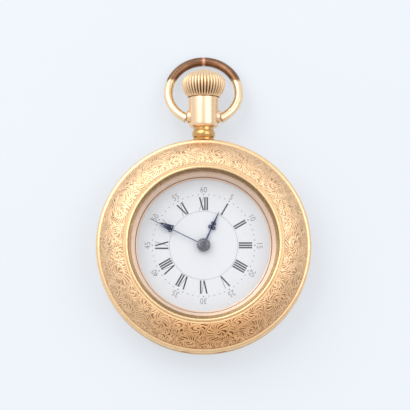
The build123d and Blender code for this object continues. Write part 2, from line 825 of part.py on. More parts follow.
# Third and fourth wheels: rim with spokes, pinion, arbor and two pivots
train_spokes = 4
train_spoke_w = 0.36
train_hub_r = 0.44
with BuildPart() as third_wheel:
    third_blank = (third_teeth, third_module, fourth_angle, train_hub_r, train_spokes, train_spoke_w)
    add(spoked_blank(third_point, third_wheel_z, *third_blank))
    leaf_low = bridge_z + arbor_end_gap
    leaf_high = third_wheel_z - arbor_end_gap
    leaf_phase = third_angle + 180
    add(pinion_leaves(third_point, leaf_low, leaf_high, third_pinion_teeth, centre_module, leaf_phase))
    add(cylinder(third_point, bridge_z + arbor_end_gap, plate_z - arbor_end_gap, arbor_r))
    add(cylinder(third_point, bridge_z - jewel_t, plate_z + jewel_t, pivot_r))
finish(third_wheel, "third_wheel")

with BuildPart() as fourth_wheel:
    fourth_blank = (fourth_teeth, fourth_module, escape_angle, train_hub_r, train_spokes, train_spoke_w)
    add(spoked_blank(fourth_point, fourth_wheel_z, *fourth_blank))
    leaf_low = third_wheel_z - wheel_t
    leaf_phase = fourth_angle + 180
    add(pinion_leaves(fourth_point, leaf_low, fourth_wheel_z, fourth_pinion_teeth, third_module, leaf_phase))
    add(cylinder(fourth_point, bridge_z + arbor_end_gap, plate_z - arbor_end_gap, arbor_r))
    add(cylinder(fourth_point, bridge_z - jewel_t, plate_z + jewel_t, pivot_r))
finish(fourth_wheel, "fourth_wheel")

# Centre wheel: its arbor passes through the main plate and carries the cannon pinion
cannon_r = 0.42
centre_arbor_r = 0.3
centre_spokes = 5
centre_arbor_top_z = minute_hand_z + hand_t
centre_hub_r = 1.0
centre_spoke_w = 0.45
with BuildPart() as centre_wheel:
    centre_blank = (centre_teeth, centre_module, third_angle, centre_hub_r, centre_spokes, centre_spoke_w)
    add(spoked_blank(centre_point, centre_wheel_z, *centre_blank))
    leaf_low = centre_wheel_z + wheel_t
    leaf_high = plate_z - 2 * arbor_end_gap
    add(pinion_leaves(centre_point, leaf_low, leaf_high, centre_pinion_teeth, barrel_module, barrel_angle))
    add(cylinder(centre_point, bridge_z + arbor_end_gap, centre_arbor_top_z, centre_arbor_r))
    add(cylinder(centre_point, bridge_z - jewel_t, bridge_z + 2 * arbor_end_gap, pivot_r))
finish(centre_wheel, "centre_wheel")

# Going barrel: toothed drum, cover, mainspring and arbor
barrel_lift = 0.44
barrel_h = 1.28
barrel_wall = 0.25
barrel_floor = 0.2
barrel_tooth_h = 0.45
barrel_arbor_r = 0.5
barrel_core_r = 1.6
mainspring_t = 0.14
mainspring_turns = 5
barrel_z = bridge_z + barrel_lift
barrel_top_z = barrel_z + barrel_h
barrel_root_r = barrel_module * barrel_teeth / 2 - wheel_dedendum_share * barrel_module
with BuildPart() as barrel_drum:
    with BuildSketch(outline_plane(barrel_point, barrel_z)):
        Circle(barrel_root_r)
    extrude(amount=barrel_h)
    tooth_z = barrel_top_z - barrel_floor - barrel_tooth_h
    add(wheel_disc(barrel_point, tooth_z, barrel_tooth_h, barrel_teeth, barrel_module, barrel_angle + 180))
    with BuildSketch(outline_plane(barrel_point, barrel_z)):
        Circle(barrel_root_r - barrel_wall)
    extrude(amount=barrel_h - barrel_floor, mode=Mode.SUBTRACT)
    with BuildSketch(outline_plane(barrel_point, barrel_z)):
        Circle(barrel_arbor_r + running_gap)
    extrude(amount=barrel_h, mode=Mode.SUBTRACT)
finish(barrel_drum, "barrel_drum")

with BuildPart() as barrel_cover:
    with BuildSketch(outline_plane(barrel_point, barrel_z)):
        Circle(barrel_root_r - barrel_wall - seat_gap)
        Circle(barrel_arbor_r + running_gap, mode=Mode.SUBTRACT)
    extrude(amount=barrel_floor)
finish(barrel_cover, "barrel_cover")


def spiral_ribbon(point, low_z, height, inner_r, outer_r, thickness, turns):
    """A flat spiral of half-turn arcs about two centres, half a pitch apart."""
    pitch = (outer_r - inner_r) / turns
    centres = (point, (point[0] + pitch / 2, point[1]))
    with BuildPart() as ribbon:
        with BuildSketch(outline_plane((0, 0), low_z)):
            with BuildLine():
                edges = []
                for offset in (-thickness / 2, thickness / 2):
                    side = []
                    for i in range(2 * turns):
                        radius = inner_r + i * pitch / 2 + offset
                        start = 180 * (i % 2)
                        side.append(CenterArc(centres[i % 2], radius, start, 180))
                    edges.append(side)
                Line(edges[0][0] @ 0, edges[1][0] @ 0)
                Line(edges[0][-1] @ 1, edges[1][-1] @ 1)
            make_face()
        extrude(amount=height)
    return ribbon


spring_low_z = barrel_z + barrel_floor + snap_gap
spring_h = barrel_h - 2 * barrel_floor - 2 * snap_gap
spring_inner_r = barrel_core_r + mainspring_t
spring_outer_r = barrel_root_r - barrel_wall - 2 * mainspring_t
spring_form = (spring_inner_r, spring_outer_r, mainspring_t, mainspring_turns)
mainspring = spiral_ribbon(barrel_point, spring_low_z, spring_h, *spring_form)
finish(mainspring, "mainspring")

# Ratchet wheel on the squared end of the barrel arbor, held by its screw
ratchet_t = 0.4
ratchet_lift = 0.05
ratchet_square = 0.66
ratchet_z = bridge_outer_z - ratchet_lift - ratchet_t
arbor_foot_depth = 0.4
big_screw_head_r = 1.2
big_screw_head_h = 0.25
big_screw_r = 0.22
screw_slot_w = 0.2
big_screw_length = 1.2
ratchet_phase = degrees(asin((crown_wheel_y - barrel_point[1]) / ratchet_distance))
with BuildPart() as barrel_arbor:
    add(cylinder(barrel_point, bridge_outer_z, plate_z + arbor_foot_depth, barrel_arbor_r))
    add(cylinder(barrel_point, spring_low_z, spring_low_z + spring_h, barrel_core_r))
    with BuildSketch(outline_plane(barrel_point, ratchet_z + seat_gap)):
        Rectangle(ratchet_square, ratchet_square)
    extrude(amount=bridge_outer_z - ratchet_z)
    screw_bore = cylinder(barrel_point, ratchet_z, ratchet_z + big_screw_length, big_screw_r + seat_gap)
    add(screw_bore, mode=Mode.SUBTRACT)
finish(barrel_arbor, "barrel_arbor")

with BuildPart() as ratchet_wheel:
    add(wheel_disc(barrel_point, ratchet_z, ratchet_t, ratchet_teeth, ratchet_module, ratchet_phase))
    with BuildSketch(outline_plane(barrel_point, ratchet_z)):
        Rectangle(ratchet_square + 2 * seat_gap, ratchet_square + 2 * seat_gap)
    extrude(amount=ratchet_t, mode=Mode.SUBTRACT)
finish(ratchet_wheel, "ratchet_wheel")


def slotted_head(point, low_z, head_r, head_h):
    """A flat screw head whose slot faces the back of the watch."""
    with BuildPart() as head:
        with BuildSketch(outline_plane(point, low_z)):
            Circle(head_r)
        extrude(amount=head_h)
        with BuildSketch(outline_plane(point, low_z)):
            Rectangle(2 * head_r, screw_slot_w)
        extrude(amount=head_h / 2, mode=Mode.SUBTRACT)
    return head.part


with BuildPart() as ratchet_screw:
    head_z = ratchet_z - big_screw_head_h - seat_gap
    add(slotted_head(barrel_point, head_z, big_screw_head_r, big_screw_head_h))
    shank_top_z = ratchet_z + big_screw_length - snap_gap
    add(cylinder(barrel_point, ratchet_z - 2 * seat_gap, shank_top_z, big_screw_r))
finish(ratchet_screw, "ratchet_screw")

# Crown wheel: spur teeth for the ratchet wheel above, face teeth for the winding pinion below
crown_wheel_bore_r = 0.8
contrate_w = 0.4
contrate_body_w = 0.5
contrate_tooth_h = 0.3
contrate_tooth_w = 0.24
contrate_taper = 12
contrate_r = winding_module * contrate_teeth / 2
winding_pitch_r = winding_module * winding_teeth / 2
contrate_root_z = stem_z - winding_pitch_r - 1.2 * winding_module
with BuildPart() as crown_wheel:
    spur_top_z = ratchet_z + ratchet_t
    spur_form = (crown_wheel_teeth, ratchet_module, ratchet_phase + 180)
    add(pinion_leaves(crown_wheel_point, ratchet_z, spur_top_z, *spur_form))
    with BuildSketch(outline_plane(crown_wheel_point, ratchet_z)):
        Circle(contrate_r + contrate_body_w / 2)
    extrude(amount=contrate_root_z - ratchet_z)
    with BuildSketch(outline_plane(crown_wheel_point, ratchet_z + ratchet_t)):
        Circle(contrate_r - contrate_body_w / 2)
    extrude(amount=contrate_root_z - ratchet_z, mode=Mode.SUBTRACT)
    with BuildSketch(outline_plane(crown_wheel_point, contrate_root_z)):
        for i in range(contrate_teeth):
            angle = 90 + i * 360 / contrate_teeth
            with Locations(Location((*polar(contrate_r, angle), 0), (0, 0, angle))):
                Rectangle(contrate_w, contrate_tooth_w)
    extrude(amount=contrate_tooth_h, taper=contrate_taper)
    add(cylinder(crown_wheel_point, ratchet_z, spur_top_z, crown_wheel_bore_r), mode=Mode.SUBTRACT)
finish(crown_wheel, "crown_wheel")

# The crown wheel turns on the shoulder of its screw, which stands in a pocket of the barrel bridge
pocket_r = contrate_r + contrate_body_w / 2 + 1.5 * snap_gap
pocket_floor_z = contrate_root_z + contrate_tooth_h + snap_gap
pocket_floor_t = 0.2
with BuildPart() as crown_wheel_screw:
    head_z = ratchet_z - big_screw_head_h - cover_gap
    add(slotted_head(crown_wheel_point, head_z, big_screw_head_r, big_screw_head_h))
    shoulder_r = crown_wheel_bore_r - running_gap
    add(cylinder(crown_wheel_point, ratchet_z - 2 * cover_gap, pocket_floor_z, shoulder_r))
    add(cylinder(crown_wheel_point, pocket_floor_z, pocket_floor_z + pocket_floor_t, big_screw_r))
finish(crown_wheel_screw, "crown_wheel_screw")

# Winding pinion and clutch on the stem, with interlocking face dogs
winding_length = 1.4
dog_count = 6
dog_share = 0.36
dog_h = 0.2
dog_gap = 0.04
clutch_r = 1.0
clutch_groove_r = 0.7
clutch_groove_w = 0.7
clutch_length = 1.55
winding_y = crown_wheel_y + contrate_r - winding_length / 2


def dog_ring(y, height, inner_r, outer_r, phase):
    """Face dogs round the stem, raised from this station toward +Y."""
    pitch = 360 / dog_count
    with BuildPart() as ring:
        with BuildSketch(stem_section(y)):
            for i in range(dog_count):
                start = phase + (i - dog_share / 2) * pitch
                stop = phase + (i + dog_share / 2) * pitch
                with BuildLine():
                    Polyline(
                        polar(inner_r, start),
                        polar(outer_r, start),
                        polar(outer_r, stop),
                        polar(inner_r, stop),
                        close=True,
                    )
                make_face()
        extrude(amount=height)
    return ring.part


dog_inner_r = stem_r + 2 * running_gap
with BuildPart() as winding_pinion:
    with BuildSketch(stem_section(winding_y)):
        with BuildLine():
            Polyline(*pinion_points(winding_teeth, winding_module, 270), close=True)
        make_face()
    extrude(amount=winding_length)
    add(dog_ring(winding_y - dog_h, dog_h, dog_inner_r, clutch_r, 0))
    with BuildSketch(stem_section(winding_y - dog_h)):
        Circle(stem_r + running_gap)
    extrude(amount=winding_length + dog_h, mode=Mode.SUBTRACT)
finish(winding_pinion, "winding_pinion")

clutch_top_y = winding_y - dog_h - dog_gap
clutch_low_y = clutch_top_y - clutch_length
clutch_groove_y = clutch_low_y + clutch_length / 2
with BuildPart() as clutch:
    with BuildSketch(stem_section(clutch_low_y)):
        Circle(clutch_r)
    extrude(amount=clutch_length)
    with BuildSketch(stem_section(clutch_groove_y - clutch_groove_w / 2)):
        Circle(2 * clutch_r)
        Circle(clutch_groove_r, mode=Mode.SUBTRACT)
    extrude(amount=clutch_groove_w, mode=Mode.SUBTRACT)
    add(dog_ring(clutch_top_y, dog_h, dog_inner_r, clutch_r, 180 / dog_count))
    add(dog_ring(clutch_low_y - dog_h, dog_h, dog_inner_r, clutch_r, 0))
    with BuildSketch(stem_section(clutch_low_y - dog_h)):
        Rectangle(stem_square + 2 * running_gap, stem_square + 2 * running_gap)
    extrude(amount=clutch_length + 2 * dog_h, mode=Mode.SUBTRACT)
finish(clutch, "clutch")

# Winding stem: pilot, square for the clutch, round shank with the groove of the setting lever
with BuildPart() as winding_stem:
    with BuildSketch(stem_section(stem_pilot_y)):
        Circle(stem_pilot_r)
    extrude(amount=stem_round_y - stem_pilot_y)
    with BuildSketch(stem_section(stem_square_y)):
        Rectangle(stem_square, stem_square)
    extrude(amount=stem_round_y - stem_square_y)
    with BuildSketch(stem_section(stem_round_y)):
        Circle(stem_r)
    extrude(amount=stem_top_y - stem_round_y)
    with BuildSketch(stem_section(stem_groove_y)):
        Circle(2 * stem_r)
        Circle(stem_groove_r, mode=Mode.SUBTRACT)
    extrude(amount=stem_groove_w, mode=Mode.SUBTRACT)
finish(winding_stem, "winding_stem")

# Setting lever and yoke on the dial side of the plate
lever_t = 0.3
lever_w = 0.6
lever_head_r = 0.65
lever_pin_r = 0.2
lever_post_r = 0.3
lever_lift = 0.8
lever_reach = 2.6
lever_z = plate_z + lever_lift
lever_pin_y = stem_groove_y + stem_groove_w / 2
lever_pivot = (lever_reach, lever_pin_y + 0.08 * lever_reach)
yoke_t = 0.2
yoke_blade_w = 0.24
yoke_head_r = 0.55
yoke_post_r = 0.25
yoke_reach = 3.2
yoke_z = stem_z + clutch_groove_r + snap_gap / 2
yoke_pivot = (-yoke_reach, clutch_groove_y)


def bar(start, end, width, low_z, height):
    """A flat bar with round ends between two places of the movement."""
    length = sqrt((end[0] - start[0]) ** 2 + (end[1] - start[1]) ** 2)
    middle = ((start[0] + end[0]) / 2, (start[1] + end[1]) / 2)
    turn = degrees(asin((end[1] - start[1]) / length))
    turn = turn if end[0] >= start[0] else 180 - turn
    with BuildPart() as flat:
        with BuildSketch(outline_plane(middle, low_z)):
            SlotCenterToCenter(length, width, rotation=turn)
        extrude(amount=height)
    return flat.part


with BuildPart() as setting_lever:
    add(cylinder(lever_pivot, lever_z, lever_z + lever_t, lever_head_r))
    add(bar(lever_pivot, (0, lever_pin_y), lever_w, lever_z, lever_t))
    add(cylinder((0, lever_pin_y), plate_z, lever_z, lever_pin_r))
    add(cylinder(lever_pivot, lever_z - 2 * lever_t, lever_z, lever_post_r))
finish(setting_lever, "setting_lever")

with BuildPart() as yoke:
    add(cylinder(yoke_pivot, yoke_z, yoke_z + yoke_t, yoke_head_r))
    add(bar(yoke_pivot, (2 * yoke_blade_w, clutch_groove_y), yoke_blade_w, yoke_z, yoke_t))
    add(cylinder(yoke_pivot, plate_z + cover_gap, yoke_z, yoke_post_r))
finish(yoke, "yoke")

# Motion works under the dial: cannon pinion, minute wheel, hour wheel and the two setting wheels
motion_floor = 0.3
motion_gap = 0.08
motion_wheel_t = 0.15
motion_post_r = 0.2
cannon_leaf_h = 0.35
minute_pinion_h = 0.5
hour_wheel_lift = 0.5
hour_pipe_r = 0.75
hour_pipe_bore_r = cannon_r + running_gap
motion_bore_r = motion_post_r + running_gap
motion_z = plate_z + motion_floor
wheel_z = motion_z + motion_gap
hour_wheel_z = motion_z + hour_wheel_lift
with BuildPart() as cannon_pinion:
    leaf_low = wheel_z - motion_gap / 2
    add(pinion_leaves(centre_point, leaf_low, leaf_low + cannon_leaf_h, cannon_teeth, cannon_module, 90))
    add(cylinder(centre_point, leaf_low, minute_hand_z + hand_t, cannon_r))
    arbor_bore = cylinder(centre_point, motion_z, centre_arbor_top_z, centre_arbor_r + running_gap)
    add(arbor_bore, mode=Mode.SUBTRACT)
finish(cannon_pinion, "cannon_pinion")

with BuildPart() as minute_wheel:
    add(wheel_disc(minute_wheel_point, wheel_z, motion_wheel_t, minute_wheel_teeth, cannon_module, 90))
    leaf_high = wheel_z + motion_wheel_t + minute_pinion_h
    add(pinion_leaves(minute_wheel_point, wheel_z, leaf_high, minute_pinion_teeth, hour_module, 270))
    add(cylinder(minute_wheel_point, wheel_z, plate_top_z, motion_bore_r), mode=Mode.SUBTRACT)
finish(minute_wheel, "minute_wheel")

with BuildPart() as hour_wheel:
    add(wheel_disc(centre_point, hour_wheel_z, motion_wheel_t, hour_teeth, hour_module, 90))
    add(cylinder(centre_point, hour_wheel_z, hour_hand_z + hand_t, hour_pipe_r))
    add(cylinder(centre_point, motion_z, hour_hand_z + hand_t, hour_pipe_bore_r), mode=Mode.SUBTRACT)
finish(hour_wheel, "hour_wheel")

with BuildPart() as intermediate_wheel:
    leaf_high = wheel_z + motion_wheel_t
    add(pinion_leaves(intermediate_point, wheel_z, leaf_high, intermediate_teeth, setting_module, 270))
    add(cylinder(intermediate_point, wheel_z, plate_top_z, motion_bore_r), mode=Mode.SUBTRACT)
finish(intermediate_wheel, "intermediate_wheel")

with BuildPart() as setting_wheel:
    add(wheel_disc(setting_point, wheel_z, motion_wheel_t, setting_teeth, setting_module, 270))
    add(cylinder(setting_point, wheel_z, plate_top_z, motion_bore_r), mode=Mode.SUBTRACT)
finish(setting_wheel, "setting_wheel")

# Escape wheel: club teeth, pinion and arbor
root_drop = 0.55
club_drop = 0.1
neck_drop = 0.35
escape_root_r = escape_r - root_drop
escape_rim_w = 0.3
escape_window_r = escape_root_r - escape_rim_w
escape_hub_r = 0.45
escape_spokes = 4
escape_spoke_w = 0.2
tooth_lean = 4
club_turn = 2
neck_turn = 3
foot_turn = 6
escape_pitch = 360 / escape_teeth
escape_pinion_lap = 0.1
escape_pinion_z = fourth_wheel_z - escape_pinion_lap
with BuildPart() as escape_wheel:
    with BuildSketch(outline_plane(escape_point, escape_wheel_z)):
        club_points = []
        for i in range(escape_teeth):
            start = lever_angle + i * escape_pitch - tooth_lean - club_turn / 2
            club_points.append(polar(escape_root_r, start))
            club_points.append(polar(escape_r, start + tooth_lean))
            club_points.append(polar(escape_r - club_drop, start + tooth_lean + club_turn))
            club_points.append(polar(escape_r - neck_drop, start + neck_turn + club_turn / 2))
            club_points.append(polar(escape_root_r, start + foot_turn))
        with BuildLine():
            Polyline(*club_points, close=True)
        make_face()
        for i in range(escape_spokes):
            with BuildLine():
                window = spoke_window(escape_hub_r, escape_window_r, escape_spokes, escape_spoke_w, i)
                Polyline(*window, close=True)
            make_face(mode=Mode.SUBTRACT)
    extrude(amount=wheel_t)
    leaf_high = fourth_wheel_z + wheel_t + escape_pinion_lap
    leaf_form = (escape_pinion_teeth, fourth_module, escape_angle + 180)
    add(pinion_leaves(escape_point, escape_pinion_z, leaf_high, *leaf_form))
    add(cylinder(escape_point, bridge_z + arbor_end_gap, plate_z - arbor_end_gap, arbor_r))
    add(cylinder(escape_point, bridge_z - jewel_t, plate_z + jewel_t, pivot_r))
finish(escape_wheel, "escape_wheel")

# Pallet fork: two arms with stones, a lever and a notch for the impulse pin
pallet_t = wheel_t
pallet_arm_w = 0.4
pallet_arbor_r = 0.15
pallet_lever_w = 0.35
fork_head_w = 0.9
fork_head_y = 2.1
fork_top_y = 2.75
notch_y = 2.35
notch_w = 0.4
stone_w = 0.24
stone_gap = 0.03
stone_length = 0.72
stone_rest_angle = 30
arm_end_r = 2.95
arm_head_r = 0.36
pallet_bridge_z = 3.95
pallet_bridge_t = 0.3
pallet_hub_r = 0.4
fork_plane = Plane(
    origin=(pallet_point[0], pallet_point[1], escape_wheel_z),
    x_dir=(cos(radians(lever_angle)), sin(radians(lever_angle)), 0),
    z_dir=(0, 0, 1),
)


def stone_box(side, margin):
    """A pallet stone standing on the escape wheel's radius, just clear of the tooth tips."""
    angle = lever_angle + side * stone_rest_angle
    middle = from_point(escape_point, escape_r + stone_gap + stone_length / 2, angle)
    with BuildPart() as box:
        with BuildSketch(outline_plane((0, 0), escape_wheel_z)):
            with Locations(Location((*middle, 0), (0, 0, angle))):
                Rectangle(stone_length + 2 * margin, stone_w + 2 * margin)
        extrude(amount=pallet_t)
    return box.part


with BuildPart() as pallet_fork:
    for side in (-1, 1):
        arm_end = from_point(escape_point, arm_end_r, lever_angle + side * stone_rest_angle)
        add(bar(pallet_point, arm_end, pallet_arm_w, escape_wheel_z, pallet_t))
        add(cylinder(arm_end, escape_wheel_z, escape_wheel_z + pallet_t, arm_head_r))
    with BuildSketch(fork_plane):
        Circle(pallet_hub_r)
        with Locations((fork_head_y / 2, 0)):
            Rectangle(fork_head_y, pallet_lever_w)
        with Locations(((fork_head_y + fork_top_y) / 2, 0)):
            Rectangle(fork_top_y - fork_head_y, fork_head_w)
        with Locations(((notch_y + fork_top_y) / 2, 0)):
            Rectangle(fork_top_y - notch_y, notch_w, mode=Mode.SUBTRACT)
    extrude(amount=pallet_t)
    for side in (-1, 1):
        add(stone_box(side, seat_gap), mode=Mode.SUBTRACT)
    add(cylinder(pallet_point, pallet_bridge_z + cover_gap, plate_z - arbor_end_gap, pallet_arbor_r))
    add(cylinder(pallet_point, pallet_bridge_z - pallet_bridge_t, plate_z + jewel_t, pivot_r))
finish(pallet_fork, "pallet_fork")

with BuildPart() as pallet_stones:
    for side in (-1, 1):
        add(stone_box(side, 0))
finish(pallet_stones, "pallet_stones")

# Balance: wheel, staff with roller and impulse pin, hairspring
balance_z = 3.05
balance_h = 0.4
balance_r = 4.4
balance_rim = 0.45
balance_arm_w = 0.6
balance_hub_r = 0.7
cock_z = 2.6
cock_t = 0.6
roller_r = 0.75
roller_t = 0.1
roller_gap = 0.08
impulse_pin_r = 0.12
impulse_pin_ring_r = 0.62
hairspring_t = 0.06
hairspring_h = 0.16
hairspring_turns = 6
hairspring_inner_r = 0.6
hairspring_outer_r = 2.6
collet_r = 0.55
hairspring_z = cock_z + 0.75 * hairspring_h
roller_z = escape_wheel_z - roller_gap - roller_t
with BuildPart() as balance_wheel:
    with BuildSketch(outline_plane(balance_point, balance_z)):
        Circle(balance_r)
        Circle(balance_r - balance_rim, mode=Mode.SUBTRACT)
        Rectangle(2 * balance_r - balance_rim, balance_arm_w)
        Circle(balance_hub_r)
        Circle(arbor_r + seat_gap, mode=Mode.SUBTRACT)
    extrude(amount=balance_h)
finish(balance_wheel, "balance_wheel")

with BuildPart() as balance_staff:
    add(cylinder(balance_point, cock_z + arbor_end_gap, plate_z - arbor_end_gap, arbor_r))
    add(cylinder(balance_point, cock_z - jewel_t, plate_z + jewel_t, pivot_r))
    add(cylinder(balance_point, hairspring_z, hairspring_z + hairspring_h, collet_r))
    add(cylinder(balance_point, roller_z, roller_z + roller_t, roller_r))
    pin_place = from_point(balance_point, impulse_pin_ring_r, lever_angle + 180)
    add(cylinder(pin_place, roller_z, escape_wheel_z - stone_gap, impulse_pin_r))
finish(balance_staff, "balance_staff")

hairspring_form = (hairspring_inner_r, hairspring_outer_r, hairspring_t, hairspring_turns)
hairspring = spiral_ribbon(balance_point, hairspring_z, hairspring_h, *hairspring_form)
finish(hairspring, "hairspring")

# Main plate: pillars and stem bosses on the back side, recesses for the motion works on the dial side
pillar_r = 1.0
barrel_pillars = ((7.5, 10.5), (-5.5, 11.8), (-13.2, -1.2))
train_pillars = ((12.6, 3.2), (10.5, -8.2))
cock_pillar = (-9.0, -9.2)
cock_pillar_r = 1.3
pallet_pillar = (3.9, -9.7)
pallet_pillar_r = 0.8
screw_r = 0.4
screw_head_r = 0.75
screw_head_h = 0.3
screw_sink = 0.35
screw_length = 3.35
pallet_screw_r = 0.25
pallet_screw_head_r = 0.5
pallet_screw_head_h = 0.18
pallet_screw_length = 1.6
pilot_boss_w = 2.2
pilot_boss_low_y = 7.6
pilot_boss_high_y = 8.5
pilot_boss_z = 3.9
stem_boss_w = 2.4
stem_boss_low_y = 12.75
stem_boss_high_y = 14.6
stem_boss_z = 3.75
slot_margin = 0.12
motion_margin = 0.15
case_screw_ring_r = 14.1
case_screw_r = 0.35
case_screw_head_r = 1.2
case_screw_head_h = 0.25
case_screw_angles = (200, 340)
dial_screw_r = 0.28
dial_screw_z = plate_z + 0.35
dial_screw_outer_r = plate_r - snap_gap
dial_screw_inner_r = dial_foot_ring_r + dial_foot_r
motion_rooms = (
    (centre_point, hour_module * hour_teeth / 2 + hour_module),
    (minute_wheel_point, cannon_module * minute_wheel_teeth / 2 + cannon_module),
    (intermediate_point, setting_module * intermediate_teeth / 2 + setting_module),
    (setting_point, setting_module * setting_teeth / 2 + setting_module),
)
jewelled_points = (third_point, fourth_point, escape_point, pallet_point, balance_point)
lever_room_top_y = lever_pin_y + stem_groove_w + lever_w + running_gap
winding_room_x = winding_pitch_r + winding_module + slot_margin


def plate_block(low, high, low_z, high_z):
    """A rectangular block of the movement between two corners."""
    middle = ((low[0] + high[0]) / 2, (low[1] + high[1]) / 2)
    with BuildPart() as block:
        with BuildSketch(outline_plane(middle, low_z)):
            Rectangle(high[0] - low[0], high[1] - low[1])
        extrude(amount=high_z - low_z)
    return block.part


def radial_cylinder(angle, low_r, high_r, z, radius):
    """A round bar that points away from the centre of the watch."""
    start = polar(low_r, angle)
    with BuildPart() as radial:
        with BuildSketch(Plane(origin=(*start, z), x_dir=(0, 0, 1), z_dir=(*polar(1, angle), 0))):
            Circle(radius)
        extrude(amount=high_r - low_r)
    return radial.part


with BuildPart() as main_plate:
    flange_z = front_seat_z + seat_gap
    add(cylinder(centre_point, plate_z, flange_z, plate_r))
    add(cylinder(centre_point, flange_z, flange_z + plate_flange_t, plate_flange_r))
    add(cylinder(centre_point, plate_z, plate_top_z, dial_r))
    for place in barrel_pillars + train_pillars:
        add(cylinder(place, bridge_z + seat_gap, plate_z, pillar_r))
    add(cylinder(cock_pillar, cock_z + seat_gap, plate_z, cock_pillar_r))
    add(cylinder(pallet_pillar, pallet_bridge_z + seat_gap, plate_z, pallet_pillar_r))
    pilot_low = (-pilot_boss_w / 2, pilot_boss_low_y)
    add(plate_block(pilot_low, (pilot_boss_w / 2, pilot_boss_high_y), pilot_boss_z, plate_z))
    boss_low = (-stem_boss_w / 2, stem_boss_low_y)
    add(plate_block(boss_low, (stem_boss_w / 2, stem_boss_high_y), stem_boss_z, plate_z))
    # rooms of the motion works, with a post for each wheel that has no arbor of its own
    for place, tip_r in motion_rooms:
        add(cylinder(place, motion_z, plate_top_z, tip_r + motion_margin), mode=Mode.SUBTRACT)
    for place in (minute_wheel_point, intermediate_point, setting_point):
        add(cylinder(place, plate_z, plate_top_z - snap_gap, motion_post_r))
    add(cylinder(centre_point, plate_z, plate_top_z, centre_arbor_r + running_gap), mode=Mode.SUBTRACT)
    # slots of the clutch and the winding pinion, room of the yoke and of the setting lever
    slot_x = clutch_r + slot_margin
    slot_low = (-slot_x, pilot_boss_high_y)
    add(plate_block(slot_low, (slot_x, winding_y), pilot_boss_z, plate_top_z), mode=Mode.SUBTRACT)
    pinion_low = (-winding_room_x, winding_y - snap_gap)
    pinion_high = (winding_room_x, winding_y + winding_length + snap_gap / 2)
    add(plate_block(pinion_low, pinion_high, pilot_boss_z, plate_top_z), mode=Mode.SUBTRACT)
    yoke_low = (-yoke_reach - yoke_head_r - slot_margin, clutch_groove_y - yoke_head_r - slot_margin)
    yoke_high = (0, clutch_groove_y + yoke_head_r + slot_margin)
    add(plate_block(yoke_low, yoke_high, motion_z, plate_top_z), mode=Mode.SUBTRACT)
    add(cylinder(yoke_pivot, plate_z, motion_z, yoke_post_r + running_gap), mode=Mode.SUBTRACT)
    lever_low = (-lever_w, stem_boss_low_y - snap_gap)
    lever_high = (lever_reach + lever_head_r + snap_gap, lever_room_top_y)
    add(plate_block(lever_low, lever_high, lever_z - cover_gap, plate_top_z), mode=Mode.SUBTRACT)
    pin_slot_x = lever_pin_r + slot_margin
    pin_low = (-pin_slot_x, stem_boss_low_y)
    pin_high = (pin_slot_x, lever_room_top_y)
    add(plate_block(pin_low, pin_high, plate_z - 4 * cover_gap, lever_z), mode=Mode.SUBTRACT)
    post_low_z = lever_z - 2 * lever_t - snap_gap
    add(cylinder(lever_pivot, post_low_z, lever_z, lever_post_r + running_gap), mode=Mode.SUBTRACT)
    # bores along the stem
    with BuildSketch(stem_section(pilot_boss_low_y)):
        Circle(stem_pilot_r + running_gap)
    extrude(amount=stem_boss_low_y, mode=Mode.SUBTRACT)
    with BuildSketch(stem_section(stem_boss_low_y - overrun)):
        Circle(stem_bore_r)
    extrude(amount=band_r, mode=Mode.SUBTRACT)
    # jewel seats, blind holes and screw holes
    for place in jewelled_points:
        add(cylinder(place, plate_z, plate_z + jewel_t, jewel_r + seat_gap), mode=Mode.SUBTRACT)
    arbor_hole_z = plate_z + arbor_foot_depth + snap_gap / 2
    add(cylinder(barrel_point, plate_z, arbor_hole_z, barrel_arbor_r + running_gap), mode=Mode.SUBTRACT)
    screw_hole_z = bridge_outer_z + screw_sink + screw_length
    for place in barrel_pillars + train_pillars:
        add(cylinder(place, bridge_z, screw_hole_z, screw_r + seat_gap), mode=Mode.SUBTRACT)
    add(cylinder(cock_pillar, cock_z, cock_z + screw_length, screw_r + seat_gap), mode=Mode.SUBTRACT)
    pallet_hole_z = pallet_bridge_z + pallet_screw_length
    pallet_hole_r = pallet_screw_r + seat_gap
    add(cylinder(pallet_pillar, pallet_bridge_z, pallet_hole_z, pallet_hole_r), mode=Mode.SUBTRACT)
    for angle in case_screw_angles:
        place = polar(case_screw_ring_r, angle)
        case_hole_z = plate_top_z - plate_flange_t
        add(cylinder(place, plate_z, case_hole_z, case_screw_r + seat_gap), mode=Mode.SUBTRACT)
    for angle in dial_foot_angles:
        place = polar(dial_foot_ring_r, angle)
        foot_low_z = dial_z - dial_foot_length - snap_gap
        add(cylinder(place, foot_low_z, plate_top_z, dial_foot_r + seat_gap), mode=Mode.SUBTRACT)
        hole_end = plate_r + overrun
        bore = radial_cylinder(angle, dial_foot_ring_r, hole_end, dial_screw_z, dial_screw_r + seat_gap)
        add(bore, mode=Mode.SUBTRACT)
finish(main_plate, "main_plate")

with BuildPart() as case_screws:
    for angle in case_screw_angles:
        place = polar(case_screw_ring_r, angle)
        head_z = front_seat_z - ledge_t - case_screw_head_h - seat_gap
        add(slotted_head(place, head_z, case_screw_head_r, case_screw_head_h))
        add(cylinder(place, head_z + case_screw_head_h / 2, plate_z + arbor_foot_depth, case_screw_r))
finish(case_screws, "case_screws")

with BuildPart() as dial_screws:
    for angle in dial_foot_angles:
        inner_r = dial_screw_inner_r + seat_gap
        add(radial_cylinder(angle, inner_r, dial_screw_outer_r, dial_screw_z, dial_screw_r))
finish(dial_screws, "dial_screws")


